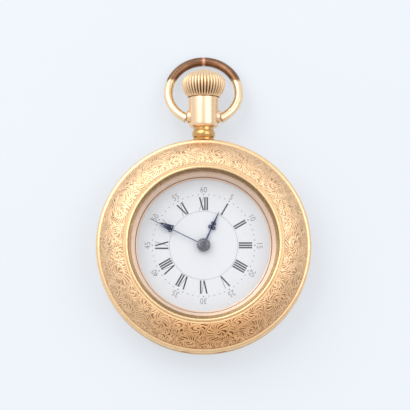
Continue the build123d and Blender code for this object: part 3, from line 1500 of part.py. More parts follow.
# Bridges over the barrel and the train, the balance cock and the pallet bridge
def bridge_blank(outline):
    """A bridge cut from a disc by an outline that overruns the rim."""
    with BuildPart() as blank:
        with BuildSketch(Plane.XY.offset(bridge_outer_z)):
            with BuildLine():
                Polyline(*outline, close=True)
            make_face()
            Circle(bridge_r, mode=Mode.INTERSECT)
        extrude(amount=bridge_t)
    return blank.part


def screw_seat(place, low_z, high_z):
    """The sunk seat and the hole of a bridge screw."""
    with BuildPart() as seat:
        add(cylinder(place, low_z, low_z + screw_sink, screw_head_r + slot_margin / 2))
        add(cylinder(place, low_z, high_z, screw_r + seat_gap))
    return seat.part


def jewel_seat(place, low_z, high_z):
    """A jewel's seat with the wider oil sink that shows it from the back."""
    with BuildPart() as seat:
        add(cylinder(place, high_z - jewel_t, high_z, jewel_r + seat_gap))
        add(cylinder(place, low_z, high_z, jewel_r - snap_gap))
    return seat.part


click_angle = 120
click_tip_angle = 100
click_w = 0.5
click_t = 0.35
click_head_r = 0.6
click_post_r = 0.25
click_post_depth = 0.6
ratchet_tip_r = ratchet_module * (ratchet_teeth + 2) / 2
click_pivot = from_point(barrel_point, ratchet_tip_r + 2 * click_head_r, click_angle)
click_tip = from_point(barrel_point, ratchet_tip_r + click_w / 2 + running_gap, click_tip_angle)
click_z = bridge_outer_z - ratchet_lift - click_t
rim_overrun = 16.0
barrel_bridge_outline = (
    (-rim_overrun, -2.6),
    (-14.4, -2.6),
    (-2.6, 1.5),
    (2.1, 5.3),
    (rim_overrun, 6.1),
    (rim_overrun, rim_overrun),
    (-rim_overrun, rim_overrun),
)
train_bridge_outline = (
    (-2.4, 1.0),
    (2.4, 4.8),
    (rim_overrun, 5.6),
    (rim_overrun, -rim_overrun),
    (10.9, -rim_overrun),
    (9.4, -9.4),
    (5.2, -8.0),
    (1.6, -4.4),
    (-1.6, -1.8),
)
with BuildPart() as barrel_bridge:
    add(bridge_blank(barrel_bridge_outline))
    pocket_top_z = pocket_floor_z + pocket_floor_t
    add(cylinder(crown_wheel_point, bridge_z, pocket_top_z, pocket_r + pocket_floor_t))
    add(cylinder(crown_wheel_point, bridge_outer_z, pocket_floor_z, pocket_r), mode=Mode.SUBTRACT)
    shank_bore_r = big_screw_r + seat_gap
    add(cylinder(crown_wheel_point, pocket_floor_z, pocket_top_z, shank_bore_r), mode=Mode.SUBTRACT)
    window_low = (-winding_room_x, winding_y - dog_h)
    window_high = (winding_room_x, winding_y + winding_length + slot_margin)
    add(plate_block(window_low, window_high, bridge_z - bridge_t / 2, pocket_top_z), mode=Mode.SUBTRACT)
    add(cylinder(barrel_point, bridge_outer_z, bridge_z, barrel_arbor_r + running_gap), mode=Mode.SUBTRACT)
    click_hole_z = click_z + click_t + click_post_depth + snap_gap / 2
    add(cylinder(click_pivot, bridge_outer_z, click_hole_z, click_post_r + running_gap), mode=Mode.SUBTRACT)
    for place in barrel_pillars:
        add(screw_seat(place, bridge_outer_z, bridge_z), mode=Mode.SUBTRACT)
finish(barrel_bridge, "barrel_bridge")

with BuildPart() as train_bridge:
    add(bridge_blank(train_bridge_outline))
    add(cylinder(escape_point, bridge_outer_z, bridge_z, 2 * jewel_r))
    for place in (centre_point, third_point, fourth_point, escape_point):
        add(jewel_seat(place, bridge_outer_z, bridge_z), mode=Mode.SUBTRACT)
    for place in train_pillars:
        add(screw_seat(place, bridge_outer_z, bridge_z), mode=Mode.SUBTRACT)
finish(train_bridge, "train_bridge")

cock_head_r = 1.6
cock_w = 2.4
regulator_boss_r = 0.62
regulator_t = 0.18
stud_r = 0.2
stud_ring_r = hairspring_outer_r + 2 * stud_r
cock_low_z = cock_z - cock_t
with BuildPart() as balance_cock:
    add(bar(cock_pillar, balance_point, cock_w, cock_low_z, cock_t))
    add(cylinder(balance_point, cock_low_z, cock_z, cock_head_r))
    add(cylinder(balance_point, cock_low_z - regulator_t, cock_low_z, regulator_boss_r))
    stud_point = from_point(balance_point, stud_ring_r, 180)
    add(cylinder(stud_point, cock_z, hairspring_z + hairspring_h, stud_r))
    add(jewel_seat(balance_point, cock_low_z - regulator_t, cock_z), mode=Mode.SUBTRACT)
    add(screw_seat(cock_pillar, cock_low_z, cock_z), mode=Mode.SUBTRACT)
finish(balance_cock, "balance_cock")

regulator_ring_r = 1.05
regulator_reach = 4.2
regulator_w = 0.32
regulator_z = cock_low_z - regulator_t
with BuildPart() as regulator:
    regulator_end = from_point(balance_point, regulator_reach, 180)
    add(cylinder(balance_point, regulator_z, cock_low_z - cover_gap, regulator_ring_r))
    add(bar(balance_point, regulator_end, regulator_w, regulator_z, regulator_t - cover_gap))
    add(cylinder(balance_point, regulator_z, cock_low_z, regulator_boss_r + cover_gap), mode=Mode.SUBTRACT)
finish(regulator, "regulator")

pallet_bridge_w = 1.4
pallet_bridge_low_z = pallet_bridge_z - pallet_bridge_t
with BuildPart() as pallet_bridge:
    add(bar(pallet_pillar, pallet_point, pallet_bridge_w, pallet_bridge_low_z, pallet_bridge_t))
    for place, hole_r in ((pallet_point, jewel_r + seat_gap), (pallet_pillar, pallet_screw_r + seat_gap)):
        add(cylinder(place, pallet_bridge_low_z, pallet_bridge_z, hole_r), mode=Mode.SUBTRACT)
finish(pallet_bridge, "pallet_bridge")


def ring_jewel(place, low_z, thickness):
    """A pierced jewel."""
    with BuildPart() as jewel:
        with BuildSketch(outline_plane(place, low_z)):
            Circle(jewel_r)
            Circle(jewel_hole_r, mode=Mode.SUBTRACT)
        extrude(amount=thickness)
    return jewel.part


with BuildPart() as plate_jewels:
    for place in jewelled_points:
        add(ring_jewel(place, plate_z, jewel_t))
finish(plate_jewels, "plate_jewels")

with BuildPart() as bridge_jewels:
    for place in (centre_point, third_point, fourth_point, escape_point):
        add(ring_jewel(place, bridge_z - jewel_t, jewel_t))
    add(ring_jewel(balance_point, cock_z - jewel_t, jewel_t))
    add(ring_jewel(pallet_point, pallet_bridge_low_z, pallet_bridge_t))
finish(bridge_jewels, "bridge_jewels")

with BuildPart() as plate_screws:
    for place in barrel_pillars + train_pillars + (cock_pillar,):
        outer_z = cock_low_z if place == cock_pillar else bridge_outer_z
        head_z = outer_z + screw_sink - screw_head_h - seat_gap
        add(slotted_head(place, head_z, screw_head_r, screw_head_h))
        add(cylinder(place, head_z + screw_head_h / 2, head_z + screw_length, screw_r))
finish(plate_screws, "plate_screws")

with BuildPart() as pallet_screw:
    head_z = pallet_bridge_low_z - pallet_screw_head_h - seat_gap
    add(slotted_head(pallet_pillar, head_z, pallet_screw_head_r, pallet_screw_head_h))
    shank_z = head_z + pallet_screw_head_h / 2
    add(cylinder(pallet_pillar, shank_z, head_z + pallet_screw_length, pallet_screw_r))
finish(pallet_screw, "pallet_screw")

# Click that holds the ratchet wheel, and its spring, on the barrel bridge
with BuildPart() as click:
    add(bar(click_pivot, click_tip, click_w, click_z, click_t))
    add(cylinder(click_pivot, click_z, click_z + click_t, click_head_r))
    add(cylinder(click_pivot, click_z + click_t, click_z + click_t + click_post_depth, click_post_r))
finish(click, "click")

click_spring_t = 0.2
click_spring_h = 0.3
click_spring_gap = 0.7
click_spring_start = 96
click_spring_stop = 128
with BuildPart() as click_spring:
    spring_r = ratchet_tip_r + click_w + 2 * click_spring_gap
    with BuildSketch(outline_plane(barrel_point, bridge_outer_z - click_spring_h - seat_gap)):
        with BuildLine():
            sweep = click_spring_stop - click_spring_start
            inner = CenterArc((0, 0), spring_r, click_spring_start, sweep)
            outer = CenterArc((0, 0), spring_r + click_spring_t, click_spring_start, sweep)
            Line(inner @ 0, outer @ 0)
            Line(inner @ 1, outer @ 1)
        make_face()
        with Locations(polar(spring_r + click_spring_t / 2, click_spring_stop)):
            Circle(2 * click_spring_t)
    extrude(amount=click_spring_h)
finish(click_spring, "click_spring")


# Leaf springs of the front cover, bent along the inside of the band
leaf_t = 0.4
leaf_low_z = back_seat_z + lip_depth + snap_gap
leaf_h = 0.85
lift_leaf = (200, 60)
lock_leaf = (95, 60)


def leaf_spring(start, sweep):
    """A leaf that lies along the bore of the band, below the ledge."""
    outer_r = band_bore_r - seat_gap
    with BuildPart() as leaf:
        with BuildSketch(Plane.XY.offset(leaf_low_z)):
            with BuildLine():
                inner = CenterArc((0, 0), outer_r - leaf_t, start, sweep)
                outer = CenterArc((0, 0), outer_r, start, sweep)
                Line(inner @ 0, outer @ 0)
                Line(inner @ 1, outer @ 1)
            make_face()
        extrude(amount=leaf_h)
    return leaf


finish(leaf_spring(*lift_leaf), "lift_spring")
finish(leaf_spring(*lock_leaf), "lock_spring")

# Dial with its three feet
with BuildPart() as dial:
    add(cylinder(centre_point, dial_z, dial_top_z, dial_r))
    add(cylinder(centre_point, dial_z, dial_top_z, dial_hole_r), mode=Mode.SUBTRACT)
    for angle in dial_foot_angles:
        add(cylinder(polar(dial_foot_ring_r, angle), dial_z - dial_foot_length, dial_z, dial_foot_r))
finish(dial, "dial")

# Hands: a hub, a thin arm, two pierced lobes, two smaller lobes with prongs, and a long point
hour_hub_r = 1.25
minute_hub_r = 1.15
hour_lobe_y = 3.65
hour_bulb_y = 4.45
hour_prong_y = 5.0
minute_lobe_y = 6.5
minute_bulb_y = 7.35
minute_prong_y = 8.5
lobe_r = 0.4
lobe_x = 0.4
lobe_bore_r = 0.15
bulb_r = 0.27
bulb_x = 0.24
hand_arm_w = 0.32
hand_neck_w = 0.2
hand_point_w = 0.3
hand_prong_w = 0.16
hand_tip_w = 0.07


def taper_points(low_y, low_w, high_y, high_w):
    """Corners of a tapering length of a hand."""
    return [(-low_w / 2, low_y), (-high_w / 2, high_y), (high_w / 2, high_y), (low_w / 2, low_y)]


def prong_points(side, low_y, high_y):
    """Corners of a prong that stands on one of the small lobes."""
    outer_x = bulb_x + bulb_r
    return [(side * outer_x, low_y), (side * bulb_x, high_y), (side * (outer_x - 2 * hand_prong_w), low_y)]


def hand(z, clock_angle, hub_r, bore_r, lobe_y, bulb_y, prong_y, reach):
    """A hand that points along its clock angle."""
    turn = radians(clock_angle)
    flat = Plane(origin=(0, 0, z), x_dir=(cos(turn), -sin(turn), 0), z_dir=(0, 0, 1))
    outlines = [
        taper_points(0, hand_arm_w, bulb_y, hand_neck_w),
        taper_points(lobe_y, 2 * lobe_x, bulb_y, 2 * bulb_x),
        taper_points(bulb_y, hand_point_w, reach, hand_tip_w),
        prong_points(-1, bulb_y, prong_y),
        prong_points(1, bulb_y, prong_y),
    ]
    with BuildPart() as pointer:
        with BuildSketch(flat):
            for outline in outlines:
                with BuildLine():
                    Polyline(*outline, close=True)
                make_face()
            with Locations((-bulb_x, bulb_y), (bulb_x, bulb_y)):
                Circle(bulb_r)
            with Locations((-lobe_x, lobe_y), (lobe_x, lobe_y)):
                Circle(lobe_r)
                Circle(lobe_bore_r, mode=Mode.SUBTRACT)
            Circle(hub_r)
            Circle(bore_r + seat_gap, mode=Mode.SUBTRACT)
        extrude(amount=hand_t)
    return pointer


hour_form = (hour_lobe_y, hour_bulb_y, hour_prong_y, hour_hand_reach)
hour_hand = hand(hour_hand_z, hour_angle, hour_hub_r, hour_pipe_r, *hour_form)
finish(hour_hand, "hour_hand")
minute_form = (minute_lobe_y, minute_bulb_y, minute_prong_y, minute_hand_reach)
minute_hand = hand(minute_hand_z, minute_angle, minute_hub_r, cannon_r, *minute_form)
finish(minute_hand, "minute_hand")
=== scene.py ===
import json
import math

import bmesh
import bpy
import numpy as np
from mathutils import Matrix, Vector


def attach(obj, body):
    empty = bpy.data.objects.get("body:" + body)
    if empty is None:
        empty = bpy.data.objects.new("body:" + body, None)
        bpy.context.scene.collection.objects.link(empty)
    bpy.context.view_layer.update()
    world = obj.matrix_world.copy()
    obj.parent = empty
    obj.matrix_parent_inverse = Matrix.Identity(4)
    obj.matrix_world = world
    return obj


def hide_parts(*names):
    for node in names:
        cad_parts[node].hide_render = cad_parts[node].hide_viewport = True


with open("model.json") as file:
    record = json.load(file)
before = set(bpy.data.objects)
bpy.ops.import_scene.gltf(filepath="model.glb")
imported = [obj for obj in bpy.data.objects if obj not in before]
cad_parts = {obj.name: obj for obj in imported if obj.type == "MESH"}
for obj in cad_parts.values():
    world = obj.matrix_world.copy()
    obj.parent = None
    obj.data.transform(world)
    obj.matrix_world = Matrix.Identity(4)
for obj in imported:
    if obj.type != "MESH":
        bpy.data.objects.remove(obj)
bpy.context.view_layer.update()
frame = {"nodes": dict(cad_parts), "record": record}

MM = 0.001
TURN = 2 * math.pi
AXIS_R = 0.001  # radius that stands for a profile point on the axis

# Sizes in mm, as in the CAD
STEM_Z = 4.7
FRONT_SEAT, BACK_SEAT = 5.8, 3.6
RIM_R = 20.0
BAND_R = 19.95
SNAP_R, SNAP_IN_R = 18.2, 17.85
PIN_Y = 24.4

HINGE_Y = -19.6
HINGE_HALF = 4.0
HINGE_TUBE_R, HINGE_PIN_R, HINGE_ROOM_R = 0.5, 0.22, 0.64
TIGHT, RUNNING = 0.005, 0.04  # clearances round the pins, in the band's knuckles and in the covers'
KNUCKLE_HALF, KNUCKLE_GAP = 1.7, 0.06
NOTCH_Y, WEB_Y = -18.96, (-19.35, -18.9)
FILED_R = 19.86

STEM_INNER_Y = 13.9
NECK_R, NECK_FOOT_HALF_X, NECK_FOOT_HALF_Z, NECK_FOOT_Y = 1.0, 1.8, 0.64, 19.2
FIT = 0.01
BEYOND = 26.0  # a length from the centre that is well outside the case

# Three points of the front cover's crest, from the rim to the window
CREST = ((19.2, 6.82), (17.45, 9.5), (14.8, 10.65))


# Mesh helpers

def circle_through(p0, pm, p1):
    """Centre and radius of the circle through three points."""
    ax, ay = p0
    bx, by = pm
    cx, cy = p1
    a2, b2, c2 = ax**2 + ay**2, bx**2 + by**2, cx**2 + cy**2
    d = 2 * (ax * (by - cy) + bx * (cy - ay) + cx * (ay - by))
    ux = (a2 * (by - cy) + b2 * (cy - ay) + c2 * (ay - by)) / d
    uy = (a2 * (cx - bx) + b2 * (ax - cx) + c2 * (bx - ax)) / d
    return ux, uy, math.hypot(ax - ux, ay - uy)


def arc3(p0, pm, p1, n):
    """Points of the arc through three points, ends included."""
    ux, uy, r = circle_through(p0, pm, p1)
    a0, am, a1 = (math.atan2(y - uy, x - ux) for x, y in (p0, pm, p1))
    while am < a0:
        am += TURN
    while a1 < a0:
        a1 += TURN
    if am > a1:
        a1 -= TURN
    angles = [a0 + (a1 - a0) * i / n for i in range(n + 1)]
    return [(ux + r * math.cos(a), uy + r * math.sin(a)) for a in angles]


def placed_in_scene(name, data):
    o = bpy.data.objects.new(name, data)
    bpy.context.scene.collection.objects.link(o)
    return o


def soften(o, sharp=32):
    """Smooth shading, with edges steeper than sharp degrees kept hard."""
    o.data.shade_smooth()
    o.data.set_sharp_from_angle(angle=math.radians(sharp))


def new_object(name, verts, faces, smooth=True, sharp=32):
    """A mesh object from vertices in mm."""
    me = bpy.data.meshes.new(name)
    me.from_pydata([tuple(c * MM for c in v) for v in verts], [], faces)
    me.update()
    o = placed_in_scene(name, me)
    if smooth:
        soften(o, sharp)
    else:
        me.shade_flat()
    return o


def merge(o):
    """Weld points that coincide and turn all faces outwards."""
    bm = bmesh.new()
    bm.from_mesh(o.data)
    bmesh.ops.remove_doubles(bm, verts=bm.verts, dist=1e-7)
    bmesh.ops.recalc_face_normals(bm, faces=bm.faces)
    bm.to_mesh(o.data)
    bm.free()


def lathe(name, profile, segments=256, along="Z", ripple=None, ripple_depth=0.2, cuts=None, sharp=32):
    """A closed profile of (radius, station) turned about Z, or about the stem with along="Y".

    ripple(i, s) is added to the radius of point i in segment s. Its share of ripple_depth, or else the
    value that cuts has for each point, is kept as an attribute from 0 to 1 that places painted shade in the
    grooves.
    """
    n = len(profile)
    verts, faces, recess_shade = [], [], []
    for s in range(segments):
        a = TURN * s / segments
        for i, (r, h) in enumerate(profile):
            cut = ripple(i, s) if ripple else 0
            recess_shade.append(min(1, abs(cut) / ripple_depth) if ripple else cuts[i] if cuts else 0)
            u, v = (r + cut) * math.cos(a), (r + cut) * math.sin(a)
            verts.append((u, v, h) if along == "Z" else (u, h, STEM_Z + v))
    for s in range(segments):
        t = (s + 1) % segments
        for i in range(n):
            j = (i + 1) % n
            quad = (s * n + i, t * n + i, t * n + j, s * n + j)
            faces.append(quad if along == "Z" else quad[::-1])
    o = new_object(name, verts, faces, sharp=sharp)
    if ripple or cuts:
        at = o.data.attributes.new("recess_shade", "FLOAT", "POINT")
        at.data.foreach_set("value", recess_shade)
    merge(o)
    soften(o, sharp)
    return o


def box_mesh(name, low, high):
    x0, y0, z0 = low
    x1, y1, z1 = high
    v = [(x, y, z) for z in (z0, z1) for y in (y0, y1) for x in (x0, x1)]
    f = [(0, 2, 3, 1), (4, 5, 7, 6), (0, 1, 5, 4), (2, 6, 7, 3), (0, 4, 6, 2), (1, 3, 7, 5)]
    return new_object(name, v, f, smooth=False)


def tube_x(name, y, z, x0, x1, r, segments=40, chamfer=0.06):
    """A round bar along X with small chamfers."""
    prof = [(0, x0), (r - chamfer, x0), (r, x0 + chamfer), (r, x1 - chamfer), (r - chamfer, x1), (0, x1)]
    n = len(prof)
    verts, faces = [], []
    for s in range(segments):
        a = TURN * s / segments
        verts += [(x, y + rr * math.cos(a), z + rr * math.sin(a)) for rr, x in prof]
        t = (s + 1) % segments
        faces += [(s * n + i, s * n + i + 1, t * n + i + 1, t * n + i) for i in range(n - 1)]
    o = new_object(name, verts, faces)
    merge(o)
    return o


def boolean(o, cutter, operation="DIFFERENCE"):
    """Apply a boolean with cutter, which is used up."""
    m = o.modifiers.new("cut", "BOOLEAN")
    m.operation = operation
    m.object = cutter
    m.solver = "EXACT"
    dg = bpy.context.evaluated_depsgraph_get()
    me = bpy.data.meshes.new_from_object(o.evaluated_get(dg))
    o.modifiers.clear()
    old = o.data
    o.data = me
    bpy.data.meshes.remove(old)
    bpy.data.objects.remove(cutter)
    soften(o)


def join(name, objs):
    bpy.ops.object.select_all(action="DESELECT")
    for o in objs:
        o.select_set(True)
    bpy.context.view_layer.objects.active = objs[0]
    bpy.ops.object.join()
    objs[0].name = name
    return objs[0]


def file_flush(o, r=FILED_R):
    """Hinge tubes and pins are filed to the outline of the case."""
    outline = [(AXIS_R, 0), (r, 0), (r, 12), (AXIS_R, 12)]
    boolean(o, lathe("outline", outline, 192), "INTERSECT")


def hinge_tube(z, x0, x1, bore):
    """A knuckle of a hinge: a short tube, bored for the pin and filed."""
    o = tube_x("knuckle", HINGE_Y, z, x0, x1, HINGE_TUBE_R)
    boolean(o, tube_x("bore", HINGE_Y, z, x0 - 1, x1 + 1, bore))
    file_flush(o)
    return o


def hang_on_hinge(shell, seat, notch, web):
    """Cut a cover's rim free round the hinge and give it the middle knuckle. notch and web are heights."""
    half = HINGE_HALF + KNUCKLE_GAP
    boolean(shell, box_mesh("notch", (-half, -BEYOND, notch[0]), (half, NOTCH_Y, notch[1])))
    knuckle = hinge_tube(seat, -KNUCKLE_HALF, KNUCKLE_HALF, HINGE_PIN_R + RUNNING)
    tie = box_mesh("web", (-KNUCKLE_HALF, WEB_Y[0], web[0]), (KNUCKLE_HALF, WEB_Y[1], web[1]))
    return join(shell.name, [shell, knuckle, tie])


# Material helpers

def nodes_of(name):
    m = bpy.data.materials.new(name)
    m.use_nodes = True
    nt = m.node_tree
    return m, nt, nt.nodes["Principled BSDF"]


def add(nt, kind, **values):
    """A new node. Names that start with i_ are its inputs, the others its settings."""
    n = nt.nodes.new(kind)
    for k, v in values.items():
        if k.startswith("i_"):
            n.inputs[k[2:].replace("_", " ")].default_value = v
        else:
            setattr(n, k, v)
    return n


def object_space(nt):
    return add(nt, "ShaderNodeTexCoord").outputs["Object"]


def noise(nt, vector, **values):
    n = add(nt, "ShaderNodeTexNoise", **values)
    nt.links.new(vector, n.inputs["Vector"])
    return n.outputs["Fac"]


def attribute(nt, name):
    return add(nt, "ShaderNodeAttribute", attribute_name=name).outputs["Fac"]


def shaded(nt, factor, stops):
    """Colour from a ramp of (position, colour) stops."""
    r = nt.nodes.new("ShaderNodeValToRGB")
    e = r.color_ramp.elements
    while len(e) < len(stops):
        e.new(0.5)
    for k, (position, colour) in enumerate(stops):
        e[k].position = position
        e[k].color = (*colour, 1)
    nt.links.new(factor, r.inputs["Fac"])
    return r.outputs["Color"]


def mixed(nt, factor, under, over):
    """Colour that goes from under to over. over is an output or a plain colour."""
    mx = add(nt, "ShaderNodeMix", data_type="RGBA")
    nt.links.new(factor, mx.inputs[0])
    nt.links.new(under, mx.inputs[6])
    if isinstance(over, tuple):
        mx.inputs[7].default_value = (*over, 1)
    else:
        nt.links.new(over, mx.inputs[7])
    return mx.outputs[2]


def mapped(nt, value, source, target):
    """Value carried from one range to another."""
    n = add(
        nt, "ShaderNodeMapRange",
        i_From_Min=source[0], i_From_Max=source[1], i_To_Min=target[0], i_To_Max=target[1],
    )
    nt.links.new(value, n.inputs["Value"])
    return n.outputs["Result"]


def calc(nt, operation, *terms, **settings):
    """Result of a Math node. A term is a number or an output."""
    n = add(nt, "ShaderNodeMath", operation=operation, **settings)
    for socket, term in zip(n.inputs, terms):
        if isinstance(term, (int, float)):
            socket.default_value = term
        else:
            nt.links.new(term, socket)
    return n.outputs[0]


def uneven(nt, p, height, strength):
    """Bump, a tenth of a millimetre deep at full strength."""
    b = add(nt, "ShaderNodeBump", i_Strength=strength, i_Distance=0.1 * MM)
    nt.links.new(height, b.inputs["Height"])
    nt.links.new(b.outputs["Normal"], p.inputs["Normal"])


def cloud(dark, light):
    """Ramp stops that spread a noise's middle range over two tones."""
    return [(0.3, dark), (0.7, light)]


def metal(name, dark, light, rough, grain=900, bump=0.02, brush=None, cut=None, side_shade=None, metallic=1.0):
    """A metal with cloudy colour, uneven gloss and fine scratches.

    cut colours the grooves and cuts that the mesh's recess attribute marks, as painted shade, and the argument
    after it colours one side of the band, marked by a second attribute, with a darker, more orange painted
    shade.
    """
    m, nt, p = nodes_of(name)
    p.inputs["Metallic"].default_value = metallic
    src = object_space(nt)
    if brush:
        mp = add(nt, "ShaderNodeMapping", i_Scale=brush)
        nt.links.new(src, mp.inputs["Vector"])
        src = mp.outputs["Vector"]
    colour = shaded(nt, noise(nt, src, i_Scale=grain, i_Detail=6.0, i_Roughness=0.62), cloud(dark, light))
    if side_shade:
        colour = mixed(nt, attribute(nt, "painted_side_shade"), colour, side_shade)
    if cut:
        colour = mixed(nt, attribute(nt, "recess_shade"), colour, cut)
    nt.links.new(colour, p.inputs["Base Color"])
    gloss = mapped(nt, noise(nt, src, i_Scale=grain * 2.3, i_Detail=4.0), (0.3, 0.7), rough)
    nt.links.new(gloss, p.inputs["Roughness"])
    uneven(nt, p, noise(nt, src, i_Scale=2500.0, i_Detail=5.0), bump)
    return m


def cloudy(name, dark, light, rough, scale=1200.0, detail=5.0, coat=0.0):
    """Enamel, ink or stone: two tones that run into each other."""
    m, nt, p = nodes_of(name)
    colour = shaded(nt, noise(nt, object_space(nt), i_Scale=scale, i_Detail=detail), cloud(dark, light))
    nt.links.new(colour, p.inputs["Base Color"])
    p.inputs["Roughness"].default_value = rough
    p.inputs["Coat Weight"].default_value = coat
    return m


def bow_material():
    """Gold that is worn brown over the top of the bow, with a pink soldered joint in the middle."""
    m, nt, p = nodes_of("worn_bow_gold")
    p.inputs["Metallic"].default_value = 1
    src = object_space(nt)
    sep = add(nt, "ShaderNodeSeparateXYZ")
    nt.links.new(src, sep.inputs["Vector"])
    fine = noise(nt, src, i_Scale=700.0, i_Detail=7.0, i_Roughness=0.65)
    coarse = noise(nt, src, i_Scale=420.0, i_Detail=4.0)
    ragged_y = calc(nt, "MULTIPLY_ADD", fine, 2.2 * MM, sep.outputs["Y"])
    worn = mapped(nt, ragged_y, (32.4 * MM, 33.1 * MM), (0.0, 1.0))
    bright = shaded(nt, fine, cloud((0.93, 0.69, 0.43), (0.99, 0.79, 0.54)))
    brown = shaded(nt, coarse, [(0.35, (0.20, 0.10, 0.055)), (0.65, (0.30, 0.17, 0.10))])
    colour = mixed(nt, worn, bright, brown)
    joint = mapped(nt, calc(nt, "ABSOLUTE", sep.outputs["X"]), (0.15 * MM, 0.4 * MM), (1.0, 0.0))
    colour = mixed(nt, calc(nt, "MULTIPLY", joint, worn), colour, (0.72, 0.38, 0.30))
    nt.links.new(colour, p.inputs["Base Color"])
    nt.links.new(mapped(nt, worn, (0.0, 1.0), (0.3, 0.34)), p.inputs["Roughness"])
    uneven(nt, p, coarse, 0.08)
    return m


def clear_glass():
    """Glass that is see-through from the front and shows reflections at a steep angle."""
    m, nt, p = nodes_of("watch_glass")
    nt.nodes.remove(p)
    gloss = add(nt, "ShaderNodeBsdfGlossy")
    smears = noise(nt, object_space(nt), i_Scale=400.0, i_Detail=3.0)
    nt.links.new(mapped(nt, smears, (0.3, 0.7), (0.02, 0.06)), gloss.inputs["Roughness"])
    clear = add(nt, "ShaderNodeBsdfTransparent", i_Color=(0.997, 0.998, 1.0, 1))
    facing = add(nt, "ShaderNodeLayerWeight", i_Blend=0.5).outputs["Facing"]
    share = calc(nt, "MULTIPLY_ADD", calc(nt, "POWER", facing, 5.0), 0.5, 0.012)
    mx = add(nt, "ShaderNodeMixShader")
    nt.links.new(share, mx.inputs[0])
    nt.links.new(clear.outputs["BSDF"], mx.inputs[1])
    nt.links.new(gloss.outputs["BSDF"], mx.inputs[2])
    nt.links.new(mx.outputs["Shader"], nt.nodes["Material Output"].inputs["Surface"])
    return m


# Materials

gold = metal("polished_gold", (0.93, 0.63, 0.34), (1.0, 0.73, 0.44), (0.26, 0.38))
# engraved gold: painted shade in the cuts, and a darker, more orange painted shade over one side of the band
gold_engraved = metal(
    "engraved_gold", (0.90, 0.605, 0.35), (0.94, 0.69, 0.445), (0.38, 0.5),
    cut=(0.17, 0.055, 0.012), side_shade=(0.93, 0.54, 0.26),
)
# crown gold: its cut colour is painted shade in the grooves between the ribs
gold_crown = metal("crown_gold", (0.93, 0.67, 0.41), (0.99, 0.76, 0.50), (0.38, 0.5), cut=(0.13, 0.05, 0.015))
# milled gold: its cut colour is painted shade in the milled grooves
gold_milled = metal("milled_gold", (0.84, 0.54, 0.28), (0.92, 0.64, 0.37), (0.26, 0.4), cut=(0.06, 0.025, 0.01))
gold_rose = metal("rose_gold", (0.92, 0.65, 0.41), (1.0, 0.75, 0.51), (0.24, 0.38), brush=(1, 0.08, 1))
# a darker copy of the pendant's rose gold: painted shade on the neck under the tube
gold_neck_shaded = metal("neck_gold_painted_shade", (0.62, 0.35, 0.13), (0.74, 0.46, 0.19), (0.14, 0.24))
# bezel gold: its cut colour is painted shade in the turned steps
gold_bezel = metal("bezel_gold", (0.94, 0.66, 0.36), (1.0, 0.75, 0.45), (0.24, 0.36), cut=(0.15, 0.065, 0.025))
# ring gold: its cut colour is painted shade, the dark line at the foot of the ring's slope
gold_ring = metal(
    "ring_gold", (0.97, 0.71, 0.53), (1.0, 0.77, 0.59), (0.3, 0.42), cut=(0.26, 0.12, 0.08), metallic=0.5
)
steel = metal("polished_steel", (0.50, 0.50, 0.51), (0.64, 0.64, 0.65), (0.2, 0.36))
gilt = metal("gilt_brass", (0.70, 0.52, 0.25), (0.80, 0.62, 0.33), (0.34, 0.5), grain=3000, bump=0.15)
balance_brass = metal("balance_brass", (0.72, 0.52, 0.22), (0.82, 0.62, 0.30), (0.15, 0.25))
hub_steel = metal("hub_steel", (0.13, 0.13, 0.15), (0.24, 0.24, 0.27), (0.2, 0.4))
blued = metal("blued_steel", (0.04, 0.06, 0.15), (0.07, 0.10, 0.24), (0.2, 0.32))
enamel = cloudy("white_enamel", (0.935, 0.955, 0.985), (0.955, 0.975, 0.998), 0.16, scale=90.0)
ink = cloudy("dial_ink", (0.035, 0.036, 0.045), (0.06, 0.06, 0.07), 0.5)
pale_ink = cloudy("pale_dial_ink", (0.22, 0.22, 0.24), (0.30, 0.30, 0.32), 0.5)
ruby = cloudy("ruby", (0.42, 0.01, 0.05), (0.62, 0.03, 0.10), 0.06, scale=2500.0, detail=3.0, coat=0.6)
glass = clear_glass()
bow_gold = bow_material()

# The solids of the CAD that stay get the metal of their slot
SLOT_MATERIAL = {
    "case_gold": gold,
    "rose_gold": gold_rose,
    "bow_gold": bow_gold,
    "ring_gold": gold_ring,
    "watch_glass": glass,
    "enamel": enamel,
    "blued_steel": blued,
    "steel": steel,
    "gilt_brass": gilt,
    "ruby": ruby,
    "balance_brass": balance_brass,
}
for part in frame["record"]["subparts"]:
    for s in frame["nodes"][part["node"]].material_slots:
        s.material = SLOT_MATERIAL[part["material_slot"]]


def dress(o, material, body, slot, *replaced):
    """Give a piece its material, its body and the solids that it stands for."""
    o.data.materials.clear()
    o.data.materials.append(material)
    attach(o, body)
    if replaced:
        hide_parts(*replaced)


# Case band with its milled edge
MILLS = 300
MILL_DEPTH = 0.2
MILL_SHAPE = (0.3, 0.8, 1.0, 0.8)  # depth at the four points of each ridge
MILLED_POINTS = range(2, 7)  # the points of the profile between the two plain edges
band_profile = [
    (18.3, BACK_SEAT), (19.9, BACK_SEAT),
    (BAND_R, 3.66), (BAND_R, 4.1), (BAND_R, 4.9), (BAND_R, 5.3), (BAND_R, 5.72),
    (19.9, FRONT_SEAT), (18.3, FRONT_SEAT), (18.3, 5.35), (17.6, 5.35), (17.6, FRONT_SEAT),
    (14.92, FRONT_SEAT), (14.92, 5.0), (18.3, 5.0),
]
